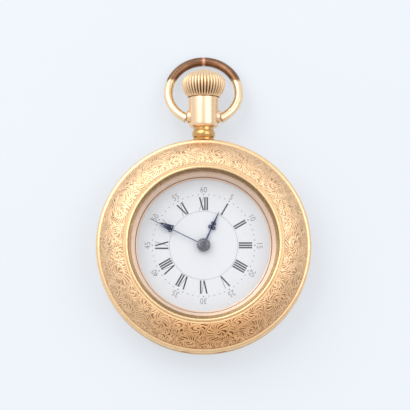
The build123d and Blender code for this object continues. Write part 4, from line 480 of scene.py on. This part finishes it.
# the grooves' depth also places painted shade in the milled grooves
band = lathe(
    "milled_band", band_profile, segments=MILLS * len(MILL_SHAPE), sharp=40, ripple_depth=MILL_DEPTH,
    ripple=lambda i, s: -MILL_DEPTH * MILL_SHAPE[s % len(MILL_SHAPE)] if i in MILLED_POINTS else 0.0,
)
gap_x = KNUCKLE_HALF + KNUCKLE_GAP
for hz in (FRONT_SEAT, BACK_SEAT):
    boolean(band, tube_x("relief", HINGE_Y, hz, -gap_x, gap_x, HINGE_ROOM_R))
bore_profile = [(0, STEM_INNER_Y), (NECK_R + FIT, STEM_INNER_Y), (NECK_R + FIT, BEYOND), (0, BEYOND)]
boolean(band, lathe("bore", bore_profile, 64, along="Y"))
half_x, half_z = NECK_FOOT_HALF_X + FIT, NECK_FOOT_HALF_Z + FIT
low, high = (-half_x, NECK_FOOT_Y - FIT, STEM_Z - half_z), (half_x, BEYOND, STEM_Z + half_z)
boolean(band, box_mesh("pocket", low, high))
knuckles = [
    hinge_tube(hz, x0, x1, HINGE_PIN_R + TIGHT)
    for hz in (FRONT_SEAT, BACK_SEAT)
    for x0, x1 in ((-HINGE_HALF, -gap_x), (gap_x, HINGE_HALF))
]
hinge_pins = []
for hz in (FRONT_SEAT, BACK_SEAT):
    pin = tube_x("hinge_pin", HINGE_Y, hz, -HINGE_HALF + 0.1, HINGE_HALF - 0.1, HINGE_PIN_R)
    file_flush(pin, FILED_R - FIT)
    hinge_pins.append(pin)
dress(band, gold_milled, "case", "case_gold", "case_band")
dress(join("band_knuckles", knuckles), gold, "case", "case_gold")
dress(join("filed_pins", hinge_pins), gold, "case", "case_gold", "front_hinge_pin", "back_hinge_pin")

# Front cover
cover_rim = arc3((RIM_R, 6.27), (19.8, 6.67), CREST[0], 10)
cover_under = arc3((14.8, 10.15), (17.1, 9.125), (18.625, 6.92), 24)
cover_profile = (
    [(SNAP_R, 5.45), (SNAP_R, 5.82), (RIM_R, 5.82)] + cover_rim + arc3(*CREST, 40)[1:]
    + [(14.5, 10.59), (14.5, 10.15)] + cover_under + [(SNAP_IN_R, 6.27), (SNAP_IN_R, 5.45)]
)
cover = lathe("front_cover_shell", cover_profile, segments=288, sharp=28)
cover = hang_on_hinge(cover, FRONT_SEAT, notch=(4.8, 6.44), web=(5.82, 6.33))
dress(cover, gold, "front_cover", "case_gold", "front_cover")


# Engraving: scrolls of curled leaves cut into the crest. U runs round the band and V across it, in mm.
ENGRAVING_MID_R = 17.2
ENGRAVING_ROWS, ENGRAVING_COLUMNS = 124, 2520
SCROLL_BAYS = 18
ENGRAVING_BASE, ENGRAVING_LIFT = 0.01, 0.08  # the cuts' height over the crest, and the raised metal's over them
SHADE_SIDE_AT = math.radians(276)  # the side of the band that gets the most painted shade
LEAF_PITCH, STEM_WIDTH = 0.43, 0.36


def wrapped(du, turn):
    """A distance round the band, the short way."""
    return (du + turn / 2) % turn - turn / 2


def scroll_seeds(turn, half, rng):
    """Centres of the scrolls as (u, v, spin, weight, phase).

    Large ones swing from border to border, with two small ones between.
    """
    step = turn / SCROLL_BAYS
    seeds = []
    for k in range(SCROLL_BAYS):
        flip = 1 if k % 2 == 0 else -1
        base = step * k
        seeds.append((base, flip * 0.34 * half, flip, 1.3))
        seeds.append((base + 0.36 * step, -flip * 0.62 * half, -flip, 1.0))
        seeds.append((base + 0.62 * step, flip * 0.72 * half, flip, 0.8))
    out = []
    for u, v, spin, w in seeds:
        du, dv = rng.uniform(-0.45, 0.45), rng.uniform(-0.25, 0.25)
        out.append((u + du, v + dv, spin, w * rng.uniform(0.85, 1.15), rng.uniform(0, TURN)))
    return out


def hashed(k):
    """A repeatable value from 0 to 1 for each whole number."""
    s = np.sin(k * 12.9898) * 43758.5453
    return s - np.floor(s)


def engraved_height(U, V, R, half, rng):
    """Relief from 0 (cut) to 1 (raised).

    Leaves lie along spiral arms round each centre, with stems between the scrolls.
    """
    turn = TURN * ENGRAVING_MID_R
    lap = TURN / turn
    # a hand's unevenness
    U, V = (
        U + 0.22 * np.sin(1.3 * V + 37 * lap * U),
        V + 0.14 * np.sin(23 * lap * U + 1.1 * V),
    )
    # the nearest scroll, its distance and angle, and the distance of the second nearest
    best = np.full(U.shape, 1e9)
    second = np.full(U.shape, 1e9)
    rho, phi, number = (np.zeros(U.shape) for i in range(3))
    weight = np.ones(U.shape)
    for k, (u, v, spin, w, phase0) in enumerate(scroll_seeds(turn, half, rng)):
        du = wrapped(U - u, turn) * (R / ENGRAVING_MID_R) * (0.8 if w > 1.0 else 0.92)
        dv = V - v
        r = np.hypot(du, dv)
        d = r / w
        closer = d < best
        second = np.where(closer, best, np.minimum(second, d))
        rho = np.where(closer, r, rho)
        phi = np.where(closer, (np.arctan2(dv, du) * spin + phase0) % TURN, phi)
        number = np.where(closer, k, number)
        weight = np.where(closer, w, weight)
        best = np.where(closer, d, best)
    # t goes across an arm of the spiral, and run along it
    arm = 0.92 + 0.20 * weight
    spiral = rho / arm - phi / TURN
    ring = np.floor(spiral)
    t = spiral - ring
    along = phi + TURN * (ring + 0.5)
    run = arm * along * np.abs(along) / (2 * TURN)
    # leaves: crescent strokes of uneven width and length
    phase = run / LEAF_PITCH + 1.35 * t**1.8
    leaf = np.floor(phase)
    q = np.abs(phase - leaf - 0.5) * 2
    luck = hashed(leaf + 31 * number)
    luck2 = hashed(leaf + 57 * number + 5)
    wide = 0.30 + 0.26 * luck
    taper = np.clip((t - 0.02 - 0.26 * luck2) / 0.22, 0, 1) * np.clip((0.97 - t) / 0.08, 0, 1)
    stroke = np.clip((wide - q + 0.14) / 0.28, 0, 1) * taper
    backbone = np.exp(-((np.minimum(t, 1 - t) * arm / 0.07) ** 2))
    cut = np.maximum(stroke * (0.7 + 0.3 * luck2), 0.5 * backbone)
    # stems where two scrolls meet
    edge = second - best
    stem = 0.5 - 0.5 * np.cos(TURN * np.clip(edge / STEM_WIDTH, 0, 1))
    stem_cut = 0.8 * (1 - stem) ** 2
    in_stem = np.clip((0.32 - edge) / 0.08, 0, 1)
    cut = cut * (1 - in_stem) + stem_cut * in_stem
    return 1 - np.clip(cut, 0, 1)


def engraving():
    """A skin of relief over the cover's crest. It keeps the cuts' depth and a share that grows towards one side
    of the band, both used for painted shade in the colour.
    """
    ux, uy, crest_r = circle_through(*CREST)
    a_out = math.atan2(CREST[0][1] - uy, CREST[0][0] - ux)
    a_in = math.atan2(CREST[2][1] - uy, CREST[2][0] - ux)
    rows, cols = ENGRAVING_ROWS, ENGRAVING_COLUMNS
    length = crest_r * (a_in - a_out)
    half = length / 2
    margin = 0.1
    s = np.linspace(margin, length - margin, rows)
    th = np.arange(cols) * TURN / cols
    S, T = np.meshgrid(s, th, indexing="ij")
    A = a_out + S / crest_r
    R = ux + crest_r * np.cos(A)
    Z = uy + crest_r * np.sin(A)
    h = engraved_height(T * ENGRAVING_MID_R, S - half, R, half, np.random.RandomState(11))
    border = np.clip(np.minimum(S - s[0], s[-1] - S) / 0.2, 0, 1)
    h = h * border + 0.3 * (1 - border)
    lift = ENGRAVING_BASE + ENGRAVING_LIFT * h
    R2 = R + lift * np.cos(A)
    Z2 = Z + lift * np.sin(A)
    verts = np.stack([R2 * np.cos(T), R2 * np.sin(T), Z2], axis=-1).reshape(-1, 3) * MM
    idx = np.arange(rows * cols).reshape(rows, cols)
    nxt = np.roll(idx, -1, axis=1)
    quads = np.stack([idx[:-1], nxt[:-1], nxt[1:], idx[1:]], axis=-1).reshape(-1, 4)
    me = bpy.data.meshes.new("engraving")
    me.vertices.add(len(verts))
    me.vertices.foreach_set("co", verts.astype(np.float32).ravel())
    me.loops.add(quads.size)
    me.loops.foreach_set("vertex_index", quads.astype(np.int32).ravel())
    me.polygons.add(len(quads))
    me.polygons.foreach_set("loop_start", (np.arange(len(quads)) * 4).astype(np.int32))
    me.polygons.foreach_set("loop_total", np.full(len(quads), 4, np.int32))
    me.update(calc_edges=True)
    me.validate()
    # painted shade: the band darkens and warms towards one side, and the shade in the cuts deepens there
    painted_side_shade = (0.5 + 0.5 * np.cos(T - SHADE_SIDE_AT)) ** 7
    depth = np.clip((0.85 - h) / 0.6, 0, 1) * (0.54 + 0.46 * painted_side_shade)
    for name, values in (("recess_shade", depth), ("painted_side_shade", painted_side_shade)):
        at = me.attributes.new(name, "FLOAT", "POINT")
        at.data.foreach_set("value", values.astype(np.float32).ravel())
    me.shade_smooth()
    return placed_in_scene("engraving", me)


dress(engraving(), gold_engraved, "front_cover", "case_gold")

# Window bezel: a bead and fine turned steps
WINDOW_R = 14.49
BEAD = ((WINDOW_R, 10.83), (14.22, 11.1), (13.95, 10.83))
LIP_R, LIP_Z = 13.38, 10.46
STEPS = 4
bezel_profile = [(WINDOW_R, 9.85)] + arc3(*BEAD, 12)
# painted shade: dark lines in the turned steps
bezel_step_shade = [0.0] * (len(bezel_profile) - 1) + [1.0]
r, z = BEAD[2]
for i in range(STEPS):
    fall = (z - LIP_Z) / (STEPS - i)
    run = (r - LIP_R) / (STEPS - i)
    bezel_profile += [(r - 0.01, z - fall), (r - run * 0.5, z - fall + 0.02), (r - run * 0.9, z - fall)]
    bezel_step_shade += [1.0, 0.45, 0.8]
    r -= run
    z -= fall
bezel_profile += [(LIP_R, 10.42), (13.62, 10.41), (13.62, 9.85)]
bezel_step_shade += [1.0, 0.8, 0.0]
bezel = lathe("turned_bezel", bezel_profile, segments=288, sharp=24, cuts=bezel_step_shade)
dress(bezel, gold_bezel, "front_cover", "case_gold", "window_bezel")

lens_profile = [(AXIS_R, 9.97), (13.59, 9.97)] + arc3((13.59, 10.38), (6.9, 10.492), (AXIS_R, 10.53), 24)
dress(lathe("window_lens", lens_profile, segments=192), glass, "front_cover", "watch_glass", "window_glass")

# Back cover: a dome round a flat middle
DOME_FLAT_R, DOME_R, DOME_RISE, DOME_WALL = 9.0, 19.2, 2.6, 0.45
dome_run = DOME_R - DOME_FLAT_R
dome_sphere_r = (dome_run**2 + DOME_RISE**2) / (2 * DOME_RISE)


def dome_points(sphere_r, run, n):
    """The dome's arc from the flat middle outwards, at this radius round the same centre."""
    steps = [run * i / n for i in range(n + 1)]
    return [(DOME_FLAT_R + x, dome_sphere_r - math.sqrt(sphere_r**2 - x**2)) for x in steps]


outer_dome = dome_points(dome_sphere_r, dome_run, 30)
inner_dome = dome_points(dome_sphere_r - DOME_WALL, dome_run - DOME_WALL / 2, 20)
back_profile = (
    [(AXIS_R, 0)] + outer_dome + arc3((DOME_R, DOME_RISE), (19.8, 2.73), (RIM_R, 3.13), 8)[1:]
    + [(RIM_R, 3.58), (SNAP_R, 3.58), (SNAP_R, 3.95), (SNAP_IN_R, 3.95), (SNAP_IN_R, 3.48)]
    + inner_dome[::-1] + [(AXIS_R, DOME_WALL)]
)
back = lathe("back_cover_shell", back_profile, segments=256, sharp=28)
back = hang_on_hinge(back, BACK_SEAT, notch=(2.96, 4.6), web=(3.07, 3.58))
dress(back, gold, "back_cover", "case_gold", "back_cover")

# Inner bezel, with a dark line of painted shade in a small groove at the foot of its slope, and the inner
# crystal
ring_profile = (
    [(15.5, 5.81), (16.3, 5.81), (16.3, 6.51)] + arc3((15.95, 6.51), (15.5, 8.21), (14.3, 9.5), 16)
    + [(13.81, 9.5), (13.81, 8.94), (13.56, 8.94), (13.42, 8.9), (13.36, 8.52), (12.72, 8.27), (12.66, 7.8),
       (12.6, 7.7), (12.54, 7.72), (12.32, 7.62), (12.3, 7.4), (14.6, 7.4), (14.6, 6.24), (15.5, 6.24)]
)
ring_shade_line = {(12.72, 8.27): 0.1, (12.66, 7.8): 0.9, (12.6, 7.7): 0.8}
ring_step_shade = [ring_shade_line.get(point, 0.0) for point in ring_profile]
ring = lathe("slope_ring", ring_profile, segments=256, sharp=26, cuts=ring_step_shade)
dress(ring, gold_ring, "case", "ring_gold", "inner_bezel")
crystal_profile = [(AXIS_R, 8.95), (13.8, 8.95), (13.8, 9.2), (13.7, 9.3), (AXIS_R, 9.3)]
dress(lathe("inner_lens", crystal_profile, segments=192), glass, "case", "watch_glass", "inner_crystal")

# Dial with its three feet
DIAL_Z, DIAL_TOP = 6.6, 7.2
FOOT_CIRCLE_R = 13.0
dial_profile = [
    (0.95, DIAL_Z), (14.28, DIAL_Z), (14.3, 6.64), (14.3, 7.14), (14.24, DIAL_TOP),
    (1.0, DIAL_TOP), (0.95, 7.15),
]
dial_pieces = [lathe("enamel_dial", dial_profile, segments=192)]
for a in (25, 155, 270):
    x, y = FOOT_CIRCLE_R * math.cos(math.radians(a)), FOOT_CIRCLE_R * math.sin(math.radians(a))
    foot = lathe("foot", [(AXIS_R, 5.2), (0.32, 5.2), (0.35, 5.23), (0.35, DIAL_Z), (AXIS_R, DIAL_Z)], 32)
    for v in foot.data.vertices:
        v.co.x += x * MM
        v.co.y += y * MM
    dial_pieces.append(foot)
dress(join("enamel_dial", dial_pieces), enamel, "case", "enamel", "dial")


class Inlay:
    """Flat figures, each made a thin prism without its hidden underside."""

    def __init__(self):
        self.verts, self.faces = [], []

    def figure(self, pts, z=DIAL_TOP, thick=0.012):
        n = len(pts)
        b = len(self.verts)
        self.verts += [(x, y, z) for x, y in pts] + [(x, y, z + thick) for x, y in pts]
        self.faces.append(tuple(b + n + i for i in range(n)))
        for i in range(n):
            j = (i + 1) % n
            self.faces.append((b + i, b + j, b + n + j, b + n + i))

    def make(self, name):
        return new_object(name, self.verts, self.faces, smooth=False)


def placed(pts, angle_cw, r):
    """Points drawn upright at the origin, moved out to radius r and turned clockwise."""
    c, s = math.cos(math.radians(angle_cw)), math.sin(math.radians(angle_cw))
    return [(x * c + (y + r) * s, -x * s + (y + r) * c) for x, y in pts]


def stroke(x0, y0, x1, y1, w):
    """A straight stroke with level ends."""
    return [(x0 - w / 2, y0), (x0 + w / 2, y0), (x1 + w / 2, y1), (x1 - w / 2, y1)]


def loop(cx, cy, outer_r, inner_r, k=28):
    """A flat ring as k four-sided figures."""
    out = []
    for i in range(k):
        a0, a1 = TURN * i / k, TURN * (i + 1) / k
        corners = ((inner_r, a0), (outer_r, a0), (outer_r, a1), (inner_r, a1))
        out.append([(cx + r * math.cos(a), cy + r * math.sin(a)) for r, a in corners])
    return out


# Hour numerals, upright towards the rim
NUMERAL_R, NUMERAL_H = 6.55, 2.43
BAR, HAIR, BAR_PITCH, SERIF = 0.27, 0.07, 0.43, 0.14


def numeral(text):
    """Strokes of a Roman numeral, centred, from y 0 to the numeral's height."""
    h = NUMERAL_H
    x = 0
    out = []
    for c in text:
        if c == "I":
            mid = x + BAR / 2
            out.append(stroke(mid, 0, mid, h, BAR))
            out.append(stroke(mid, 0, mid, 0.05, BAR + SERIF))
            out.append(stroke(mid, h - 0.05, mid, h, BAR + SERIF))
            x += BAR_PITCH
        elif c == "V":
            out.append(stroke(x + 0.75, 0, x + 0.2, h, BAR))
            out.append(stroke(x + 0.78, 0, x + 1.12, h, HAIR))
            x += 1.22
        else:
            out.append(stroke(x + 0.9, 0, x + 0.2, h, BAR))
            out.append(stroke(x + 0.16, 0, x + 0.96, h, HAIR))
            x += 1.06
    xs = [px for s in out for px, py in s]
    mid = (min(xs) + max(xs)) / 2
    return [[(px - mid, py) for px, py in s] for s in out]


numerals = Inlay()
for i, text in enumerate(["XII", "I", "II", "III", "IIII", "V", "VI", "VII", "VIII", "IX", "X", "XI"]):
    for s in numeral(text):
        numerals.figure(placed(s, 30 * i, NUMERAL_R))
dress(numerals.make("hour_numerals"), ink, "case", "enamel")

# Hairline circle and minute dots
track = Inlay()
for s in loop(0, 0, 6.39, 6.34, 180):
    track.figure(s)
for i in range(60):
    dot_r = 0.1 if i % 5 else 0.13
    dot = [(dot_r * math.cos(k * math.pi / 4), dot_r * math.sin(k * math.pi / 4)) for k in range(8)]
    track.figure(placed(dot, 6 * i, 9.5))
dress(track.make("minute_track"), pale_ink, "case", "enamel")

# Minute figures, 60 and 5 to 55
FIGURE_R, FIGURE_SIZE, FIGURE_WIDTH, FIGURE_HALF_T = 10.33, 1.55, 0.86, 0.006
minutes = []
for i in range(12):
    cu = bpy.data.curves.new("minute_number", "FONT")
    cu.body = str(5 * i if i else 60)
    cu.size = FIGURE_SIZE * MM
    cu.align_x = "CENTER"
    cu.align_y = "CENTER"
    cu.extrude = FIGURE_HALF_T * MM
    cu.resolution_u = 4
    cu.offset = -0.012 * MM
    written = placed_in_scene("minute_number", cu)
    dg = bpy.context.evaluated_depsgraph_get()
    me = bpy.data.meshes.new_from_object(written.evaluated_get(dg))
    bpy.data.objects.remove(written)
    a = math.radians(30 * i)
    for v in me.vertices:
        x, y = v.co.x * FIGURE_WIDTH, v.co.y + FIGURE_R * MM
        v.co.x = x * math.cos(a) + y * math.sin(a)
        v.co.y = -x * math.sin(a) + y * math.cos(a)
        v.co.z += (DIAL_TOP + FIGURE_HALF_T) * MM
    minutes.append(placed_in_scene("minute_number", me))
dress(join("minute_numbers", minutes), pale_ink, "case", "enamel")

# Hands of blued steel, drawn pointing to twelve and turned to the photographed time
HOUR_ANGLE, MINUTE_ANGLE = 24.8, 296.2
HAND_T, HAND_BORE_R = 0.16, 0.76


def hand_piece(name, z, clock, hub_r, parts):
    hand = Inlay()
    for pts in parts:
        hand.figure(placed(pts, clock, 0), z, HAND_T)
    for pts in loop(0, 0, hub_r, HAND_BORE_R, 48):
        hand.figure(pts, z, HAND_T)
    return hand.make(name)


hour_parts = [
    [(-0.16, 1.0), (0.16, 1.0), (0.12, 3.3), (-0.12, 3.3)],
    *loop(-0.36, 3.65, 0.36, 0.12),
    *loop(0.36, 3.65, 0.36, 0.12),
    [(-0.22, 3.3), (0.22, 3.3), (0.22, 4.2), (-0.22, 4.2)],
    *loop(-0.24, 4.45, 0.26, 0.1),
    *loop(0.24, 4.45, 0.26, 0.1),
    [(-0.26, 4.2), (0.26, 4.2), (0.16, 5.1), (0.04, 6.8), (-0.04, 6.8), (-0.16, 5.1)],
]
minute_parts = [
    [(-0.09, 1.0), (0.09, 1.0), (0.07, 6.3), (-0.07, 6.3)],
    *loop(-0.34, 6.75, 0.34, 0.1),
    *loop(0.34, 6.75, 0.34, 0.1),
    [(-0.26, 6.4), (0.26, 6.4), (0.3, 7.3), (-0.3, 7.3)],
    [(-0.44, 7.0), (-0.18, 7.0), (-0.26, 8.9), (-0.32, 8.9)],
    [(0.18, 7.0), (0.44, 7.0), (0.32, 8.9), (0.26, 8.9)],
    *loop(0, 7.45, 0.30, 0.1),
    *loop(0, 7.95, 0.2, 0.07),
    [(-0.16, 7.1), (0.16, 7.1), (0.08, 8.9), (0.03, 11.17), (-0.03, 11.17), (-0.08, 8.9)],
]
hour_hand = hand_piece("hour_hand_blued", 7.52, HOUR_ANGLE, 1.2, hour_parts)
dress(hour_hand, blued, "hour_hand", "blued_steel", "hour_hand")
minute_hand = hand_piece("minute_hand_blued", 8.02, MINUTE_ANGLE, 1.1, minute_parts)
dress(minute_hand, blued, "minute_hand", "blued_steel", "minute_hand")
hub_profile = [
    (AXIS_R, 8.2), (1.22, 8.2), (1.25, 8.24), (1.2, 8.36), (1.0, 8.44), (0.92, 8.4), (0.84, 8.44), (0.62, 8.47),
    (0.55, 8.42), (0.47, 8.46), (0.3, 8.46), (0.24, 8.41), (0.16, 8.45), (AXIS_R, 8.46),
]
dress(lathe("hand_hub", hub_profile, segments=96, sharp=20), hub_steel, "minute_hand", "steel")

# Pendant: the tube with its two bosses, and the neck
tube_profile = [
    (0.62, 22.36), (2.15, 22.36), (2.45, 22.45), (2.64, 22.62), (2.73, 22.86), (2.75, 23.15),
    (2.75, 28.02), (2.67, 28.1), (1.6, 28.1), (1.6, 22.6), (0.62, 22.6),
]
boss_profile = [
    (0.53, 3.22), (0.8, 3.22), (1.02, 3.15), (1.18, 3.02), (1.27, 2.84), (1.3, 2.62), (1.3, 2.2), (0.53, 2.2),
]


def boss(side, k=48):
    """The rounded ear for the bow's pin, on side -1 or 1."""
    n = len(boss_profile)
    verts, faces = [], []
    for j in range(k):
        c = TURN * j / k
        jj = (j + 1) % k
        verts += [(side * x, PIN_Y + r * math.cos(c), STEM_Z + r * math.sin(c)) for r, x in boss_profile]
        faces += [(j * n + i, jj * n + i, jj * n + (i + 1) % n, j * n + (i + 1) % n) for i in range(n)]
    o = new_object("boss", verts, faces)
    merge(o)
    soften(o, sharp=40)
    return o


tube = lathe("pendant_tube", tube_profile, segments=128, along="Y", sharp=30)
dress(join("pendant_tube", [tube, boss(-1), boss(1)]), gold_rose, "case", "rose_gold", "pendant")
neck_profile = (
    [(0.62, 18.6), (NECK_R, 18.6), (NECK_R, 20.02), (1.95, 20.02), (1.98, 20.3), (1.86, 20.42)]
    + arc3((1.95, 20.5), (2.14, 21.15), (1.95, 21.8), 12)
    + [(1.84, 21.86), (1.86, 22.0), (1.88, 22.36), (0.62, 22.36)]
)
neck = lathe("pendant_neck", neck_profile, segments=128, along="Y", sharp=30)
low = (-NECK_FOOT_HALF_X, NECK_FOOT_Y, STEM_Z - NECK_FOOT_HALF_Z)
high = (NECK_FOOT_HALF_X, 20.5, STEM_Z + NECK_FOOT_HALF_Z)
neck_foot = box_mesh("foot", low, high)
# the neck takes the darker copy of the rose gold, as painted shade
dress(join("pendant_neck", [neck, neck_foot]), gold_neck_shaded, "case", "rose_gold")

# Crown: 40 rounded ribs that fade out on its dome. Each row is the share of the height, the radius and the
# share of the groove's depth.
CROWN_RIBS, CROWN_RIB_POINTS, CROWN_GROOVE = 40, 12, 0.42
CROWN_Y, CROWN_H = 28.15, 5.25
CROWN_ROWS = [
    (0.0, 2.98, 0.1), (0.02, 3.08, 0.35), (0.06, 3.22, 0.7), (0.12, 3.42, 1.0), (0.18, 3.62, 0.95),
    (0.25, 3.8, 0.88), (0.33, 3.95, 0.8), (0.41, 4.04, 0.72), (0.49, 4.07, 0.64), (0.57, 4.04, 0.56),
    (0.64, 3.92, 0.50), (0.70, 3.73, 0.44), (0.76, 3.43, 0.38), (0.81, 3.1, 0.32), (0.86, 2.68, 0.24),
    (0.90, 2.22, 0.16), (0.935, 1.72, 0.08), (0.965, 1.18, 0.03), (0.99, 0.6, 0.0), (1.0, AXIS_R, 0.0),
]
crown_inside = [(AXIS_R, 33.0), (0.56, 33.0), (0.56, 28.95), (2.9, 28.95), (2.9, CROWN_Y)]
crown_profile = [(r, CROWN_Y + CROWN_H * share) for share, r, depth in CROWN_ROWS] + crown_inside
crown_depth = [depth for share, r, depth in CROWN_ROWS] + [0.0] * len(crown_inside)


def crown_groove(i, s):
    """Offset of the radius between the ribs."""
    k = s % CROWN_RIB_POINTS
    across = min(k, CROWN_RIB_POINTS - k) / CROWN_RIB_POINTS
    return -CROWN_GROOVE * crown_depth[i] * math.exp(-((across / (0.11 + 0.12 * crown_depth[i])) ** 2))


# the grooves' depth also places painted shade in the grooves
crown = lathe(
    "ribbed_crown", crown_profile, segments=CROWN_RIBS * CROWN_RIB_POINTS, along="Y", sharp=80,
    ripple=crown_groove, ripple_depth=CROWN_GROOVE,
)
dress(crown, gold_crown, "crown", "case_gold", "crown")

# Bow: two half ellipses of round wire round a centre that lies BOW_REACH from the pins
BOW_HALF_X, BOW_LOW, BOW_HIGH, BOW_REACH = 6.6, 6.0, 6.74, 4.97
WIRE_R, WIRE_SWELL = 0.85, 0.07
BOW_END_X = 3.25
BOW_END_ROWS = 26  # rows of the wire near each end that are trimmed flat against the boss
BOW_LIFT = 0.05


def bow_path():
    """Centre line of the wire from one end to the other, in the bow's own plane."""
    end = math.asin(BOW_REACH / BOW_LOW)
    lean = Vector((-BOW_HALF_X * math.sin(end), -BOW_LOW * math.cos(end))).normalized()
    half = []
    for i in range(8):
        k = 0.55 * (1 - i / 8)
        half.append((BOW_HALF_X * math.cos(end) + lean.x * k, BOW_REACH - BOW_LOW * math.sin(end) + lean.y * k))
    for i in range(24):
        a = -end + end * i / 24
        half.append((BOW_HALF_X * math.cos(a), BOW_REACH + BOW_LOW * math.sin(a)))
    for i in range(37):
        a = math.pi / 2 * i / 36
        half.append((BOW_HALF_X * math.cos(a), BOW_REACH + BOW_HIGH * math.sin(a)))
    return half + [(-x, y) for x, y in half[-2::-1]]


def bow_piece():
    """The bow, tilted until its far end is just off the table, with a pin at each end."""
    tilt = math.asin((STEM_Z - WIRE_R - BOW_LIFT) / (BOW_REACH + BOW_HIGH))
    ct, st = math.cos(tilt), math.sin(tilt)
    pts = bow_path()
    m, k = len(pts), 32
    verts, faces = [], []
    for i, (x, y) in enumerate(pts):
        p0 = pts[max(i - 1, 0)]
        p1 = pts[min(i + 1, m - 1)]
        tx, ty = p1[0] - p0[0], p1[1] - p0[1]
        n = math.hypot(tx, ty)
        nx, ny = ty / n, -tx / n
        near = min(i, m - 1 - i)
        r = WIRE_R + WIRE_SWELL * max(0.0, 1 - near / 14)
        for j in range(k):
            b = TURN * j / k
            lx, ly, lz = x + nx * r * math.cos(b), y + ny * r * math.cos(b), r * math.sin(b)
            if near < BOW_END_ROWS and abs(lx) < BOW_END_X:
                lx = math.copysign(BOW_END_X, x)
            verts.append((lx, PIN_Y + ly * ct + lz * st, STEM_Z - ly * st + lz * ct))
    for i in range(m - 1):
        for j in range(k):
            jj = (j + 1) % k
            faces.append((i * k + j, i * k + jj, (i + 1) * k + jj, (i + 1) * k + j))
    faces.append(tuple(range(k))[::-1])
    faces.append(tuple((m - 1) * k + j for j in range(k)))
    wire = new_object("worn_bow", verts, faces)
    merge(wire)
    soften(wire)
    pins = [tube_x("pin", PIN_Y, STEM_Z, x0, x1, 0.5) for x0, x1 in ((-3.9, -2.3), (2.3, 3.9))]
    return join("worn_bow", [wire] + pins)


dress(bow_piece(), bow_gold, "bow", "bow_gold", "bow")

# Table: partly lit, so that it keeps the watch's shadow, and partly its plain colour wherever it is seen
TABLE_HALF, TABLE_Z = 0.9, -0.02 * MM
TABLE_GLOW = 0.62
me = bpy.data.meshes.new("table")
corners = [(x * TABLE_HALF, y * TABLE_HALF, TABLE_Z) for x, y in ((-1, -1), (1, -1), (1, 1), (-1, 1))]
me.from_pydata(corners, [], [(0, 1, 2, 3)])
table = placed_in_scene("table", me)
m, nt, p = nodes_of("pale_table")
pale = noise(nt, object_space(nt), i_Scale=12.0, i_Detail=2.0)
colour = shaded(nt, pale, [(0.2, (0.785, 0.83, 0.885)), (0.8, (0.805, 0.85, 0.905))])
nt.links.new(colour, p.inputs["Base Color"])
p.inputs["Roughness"].default_value = 0.6
p.inputs["Specular IOR Level"].default_value = 0.2
glow = add(nt, "ShaderNodeEmission")
nt.links.new(colour, glow.inputs["Color"])
path = add(nt, "ShaderNodeLightPath").outputs
seen = calc(nt, "ADD", path["Is Camera Ray"], path["Is Glossy Ray"])
seen = calc(nt, "ADD", seen, path["Is Transmission Ray"])
both = add(nt, "ShaderNodeMixShader")
nt.links.new(calc(nt, "MULTIPLY", seen, TABLE_GLOW, use_clamp=True), both.inputs[0])
nt.links.new(p.outputs["BSDF"], both.inputs[1])
nt.links.new(glow.outputs["Emission"], both.inputs[2])
nt.links.new(both.outputs["Shader"], nt.nodes["Material Output"].inputs["Surface"])
me.materials.append(m)

# World: bright above and towards the upper left, warm and dimmer on the other side
world = bpy.data.worlds.new("studio")
bpy.context.scene.world = world
world.use_nodes = True
nt = world.node_tree
bg = nt.nodes["Background"]
toward = add(nt, "ShaderNodeVectorMath", operation="DOT_PRODUCT")
toward.inputs[1].default_value = (-0.42, 0.80, 0.42)
nt.links.new(add(nt, "ShaderNodeTexCoord").outputs["Generated"], toward.inputs[0])
spread = mapped(nt, toward.outputs["Value"], (-1.0, 1.0), (0.0, 1.0))
sky = shaded(nt, spread, [(0.05, (0.60, 0.53, 0.47)), (0.45, (0.72, 0.72, 0.74)), (0.95, (0.93, 0.93, 0.94))])
nt.links.new(sky, bg.inputs["Color"])
bg.inputs["Strength"].default_value = 1.02


def area(name, loc, target, size, power, colour):
    """A square area lamp that points at target. Places and size in metres."""
    li = bpy.data.lights.new(name, "AREA")
    li.shape = "RECTANGLE"
    li.size = li.size_y = size
    li.energy = power
    li.color = colour
    o = placed_in_scene(name, li)
    o.location = loc
    o.rotation_euler = (Vector(target) - Vector(loc)).to_track_quat("-Z", "Y").to_euler()


area("key", (-0.24, 0.28, 0.38), (0, 0.005, 0), 0.44, 1.32, (1.0, 0.985, 0.96))
area("fill", (0.30, 0.10, 0.42), (0, 0, 0), 0.36, 0.6, (0.97, 0.98, 1.0))

# Camera: almost straight above, in metres
DISTANCE = 0.62
SEEN_WIDTH = 0.07635
ELEVATION = math.radians(83)
cam = bpy.data.cameras.new("camera")
cam.type = "PERSP"
cam.sensor_width = 36
cam.lens = cam.sensor_width * DISTANCE / SEEN_WIDTH
cam.clip_start = 0.01
cam.clip_end = 10
camera = placed_in_scene("camera", cam)
aim = Vector((0.00026, 0.0078, 0.005))
camera.location = aim + DISTANCE * Vector((0, -math.cos(ELEVATION), math.sin(ELEVATION)))
camera.rotation_euler = (aim - camera.location).to_track_quat("-Z", "Y").to_euler()
bpy.context.scene.camera = camera
bpy.context.scene.view_settings.view_transform = "Standard"
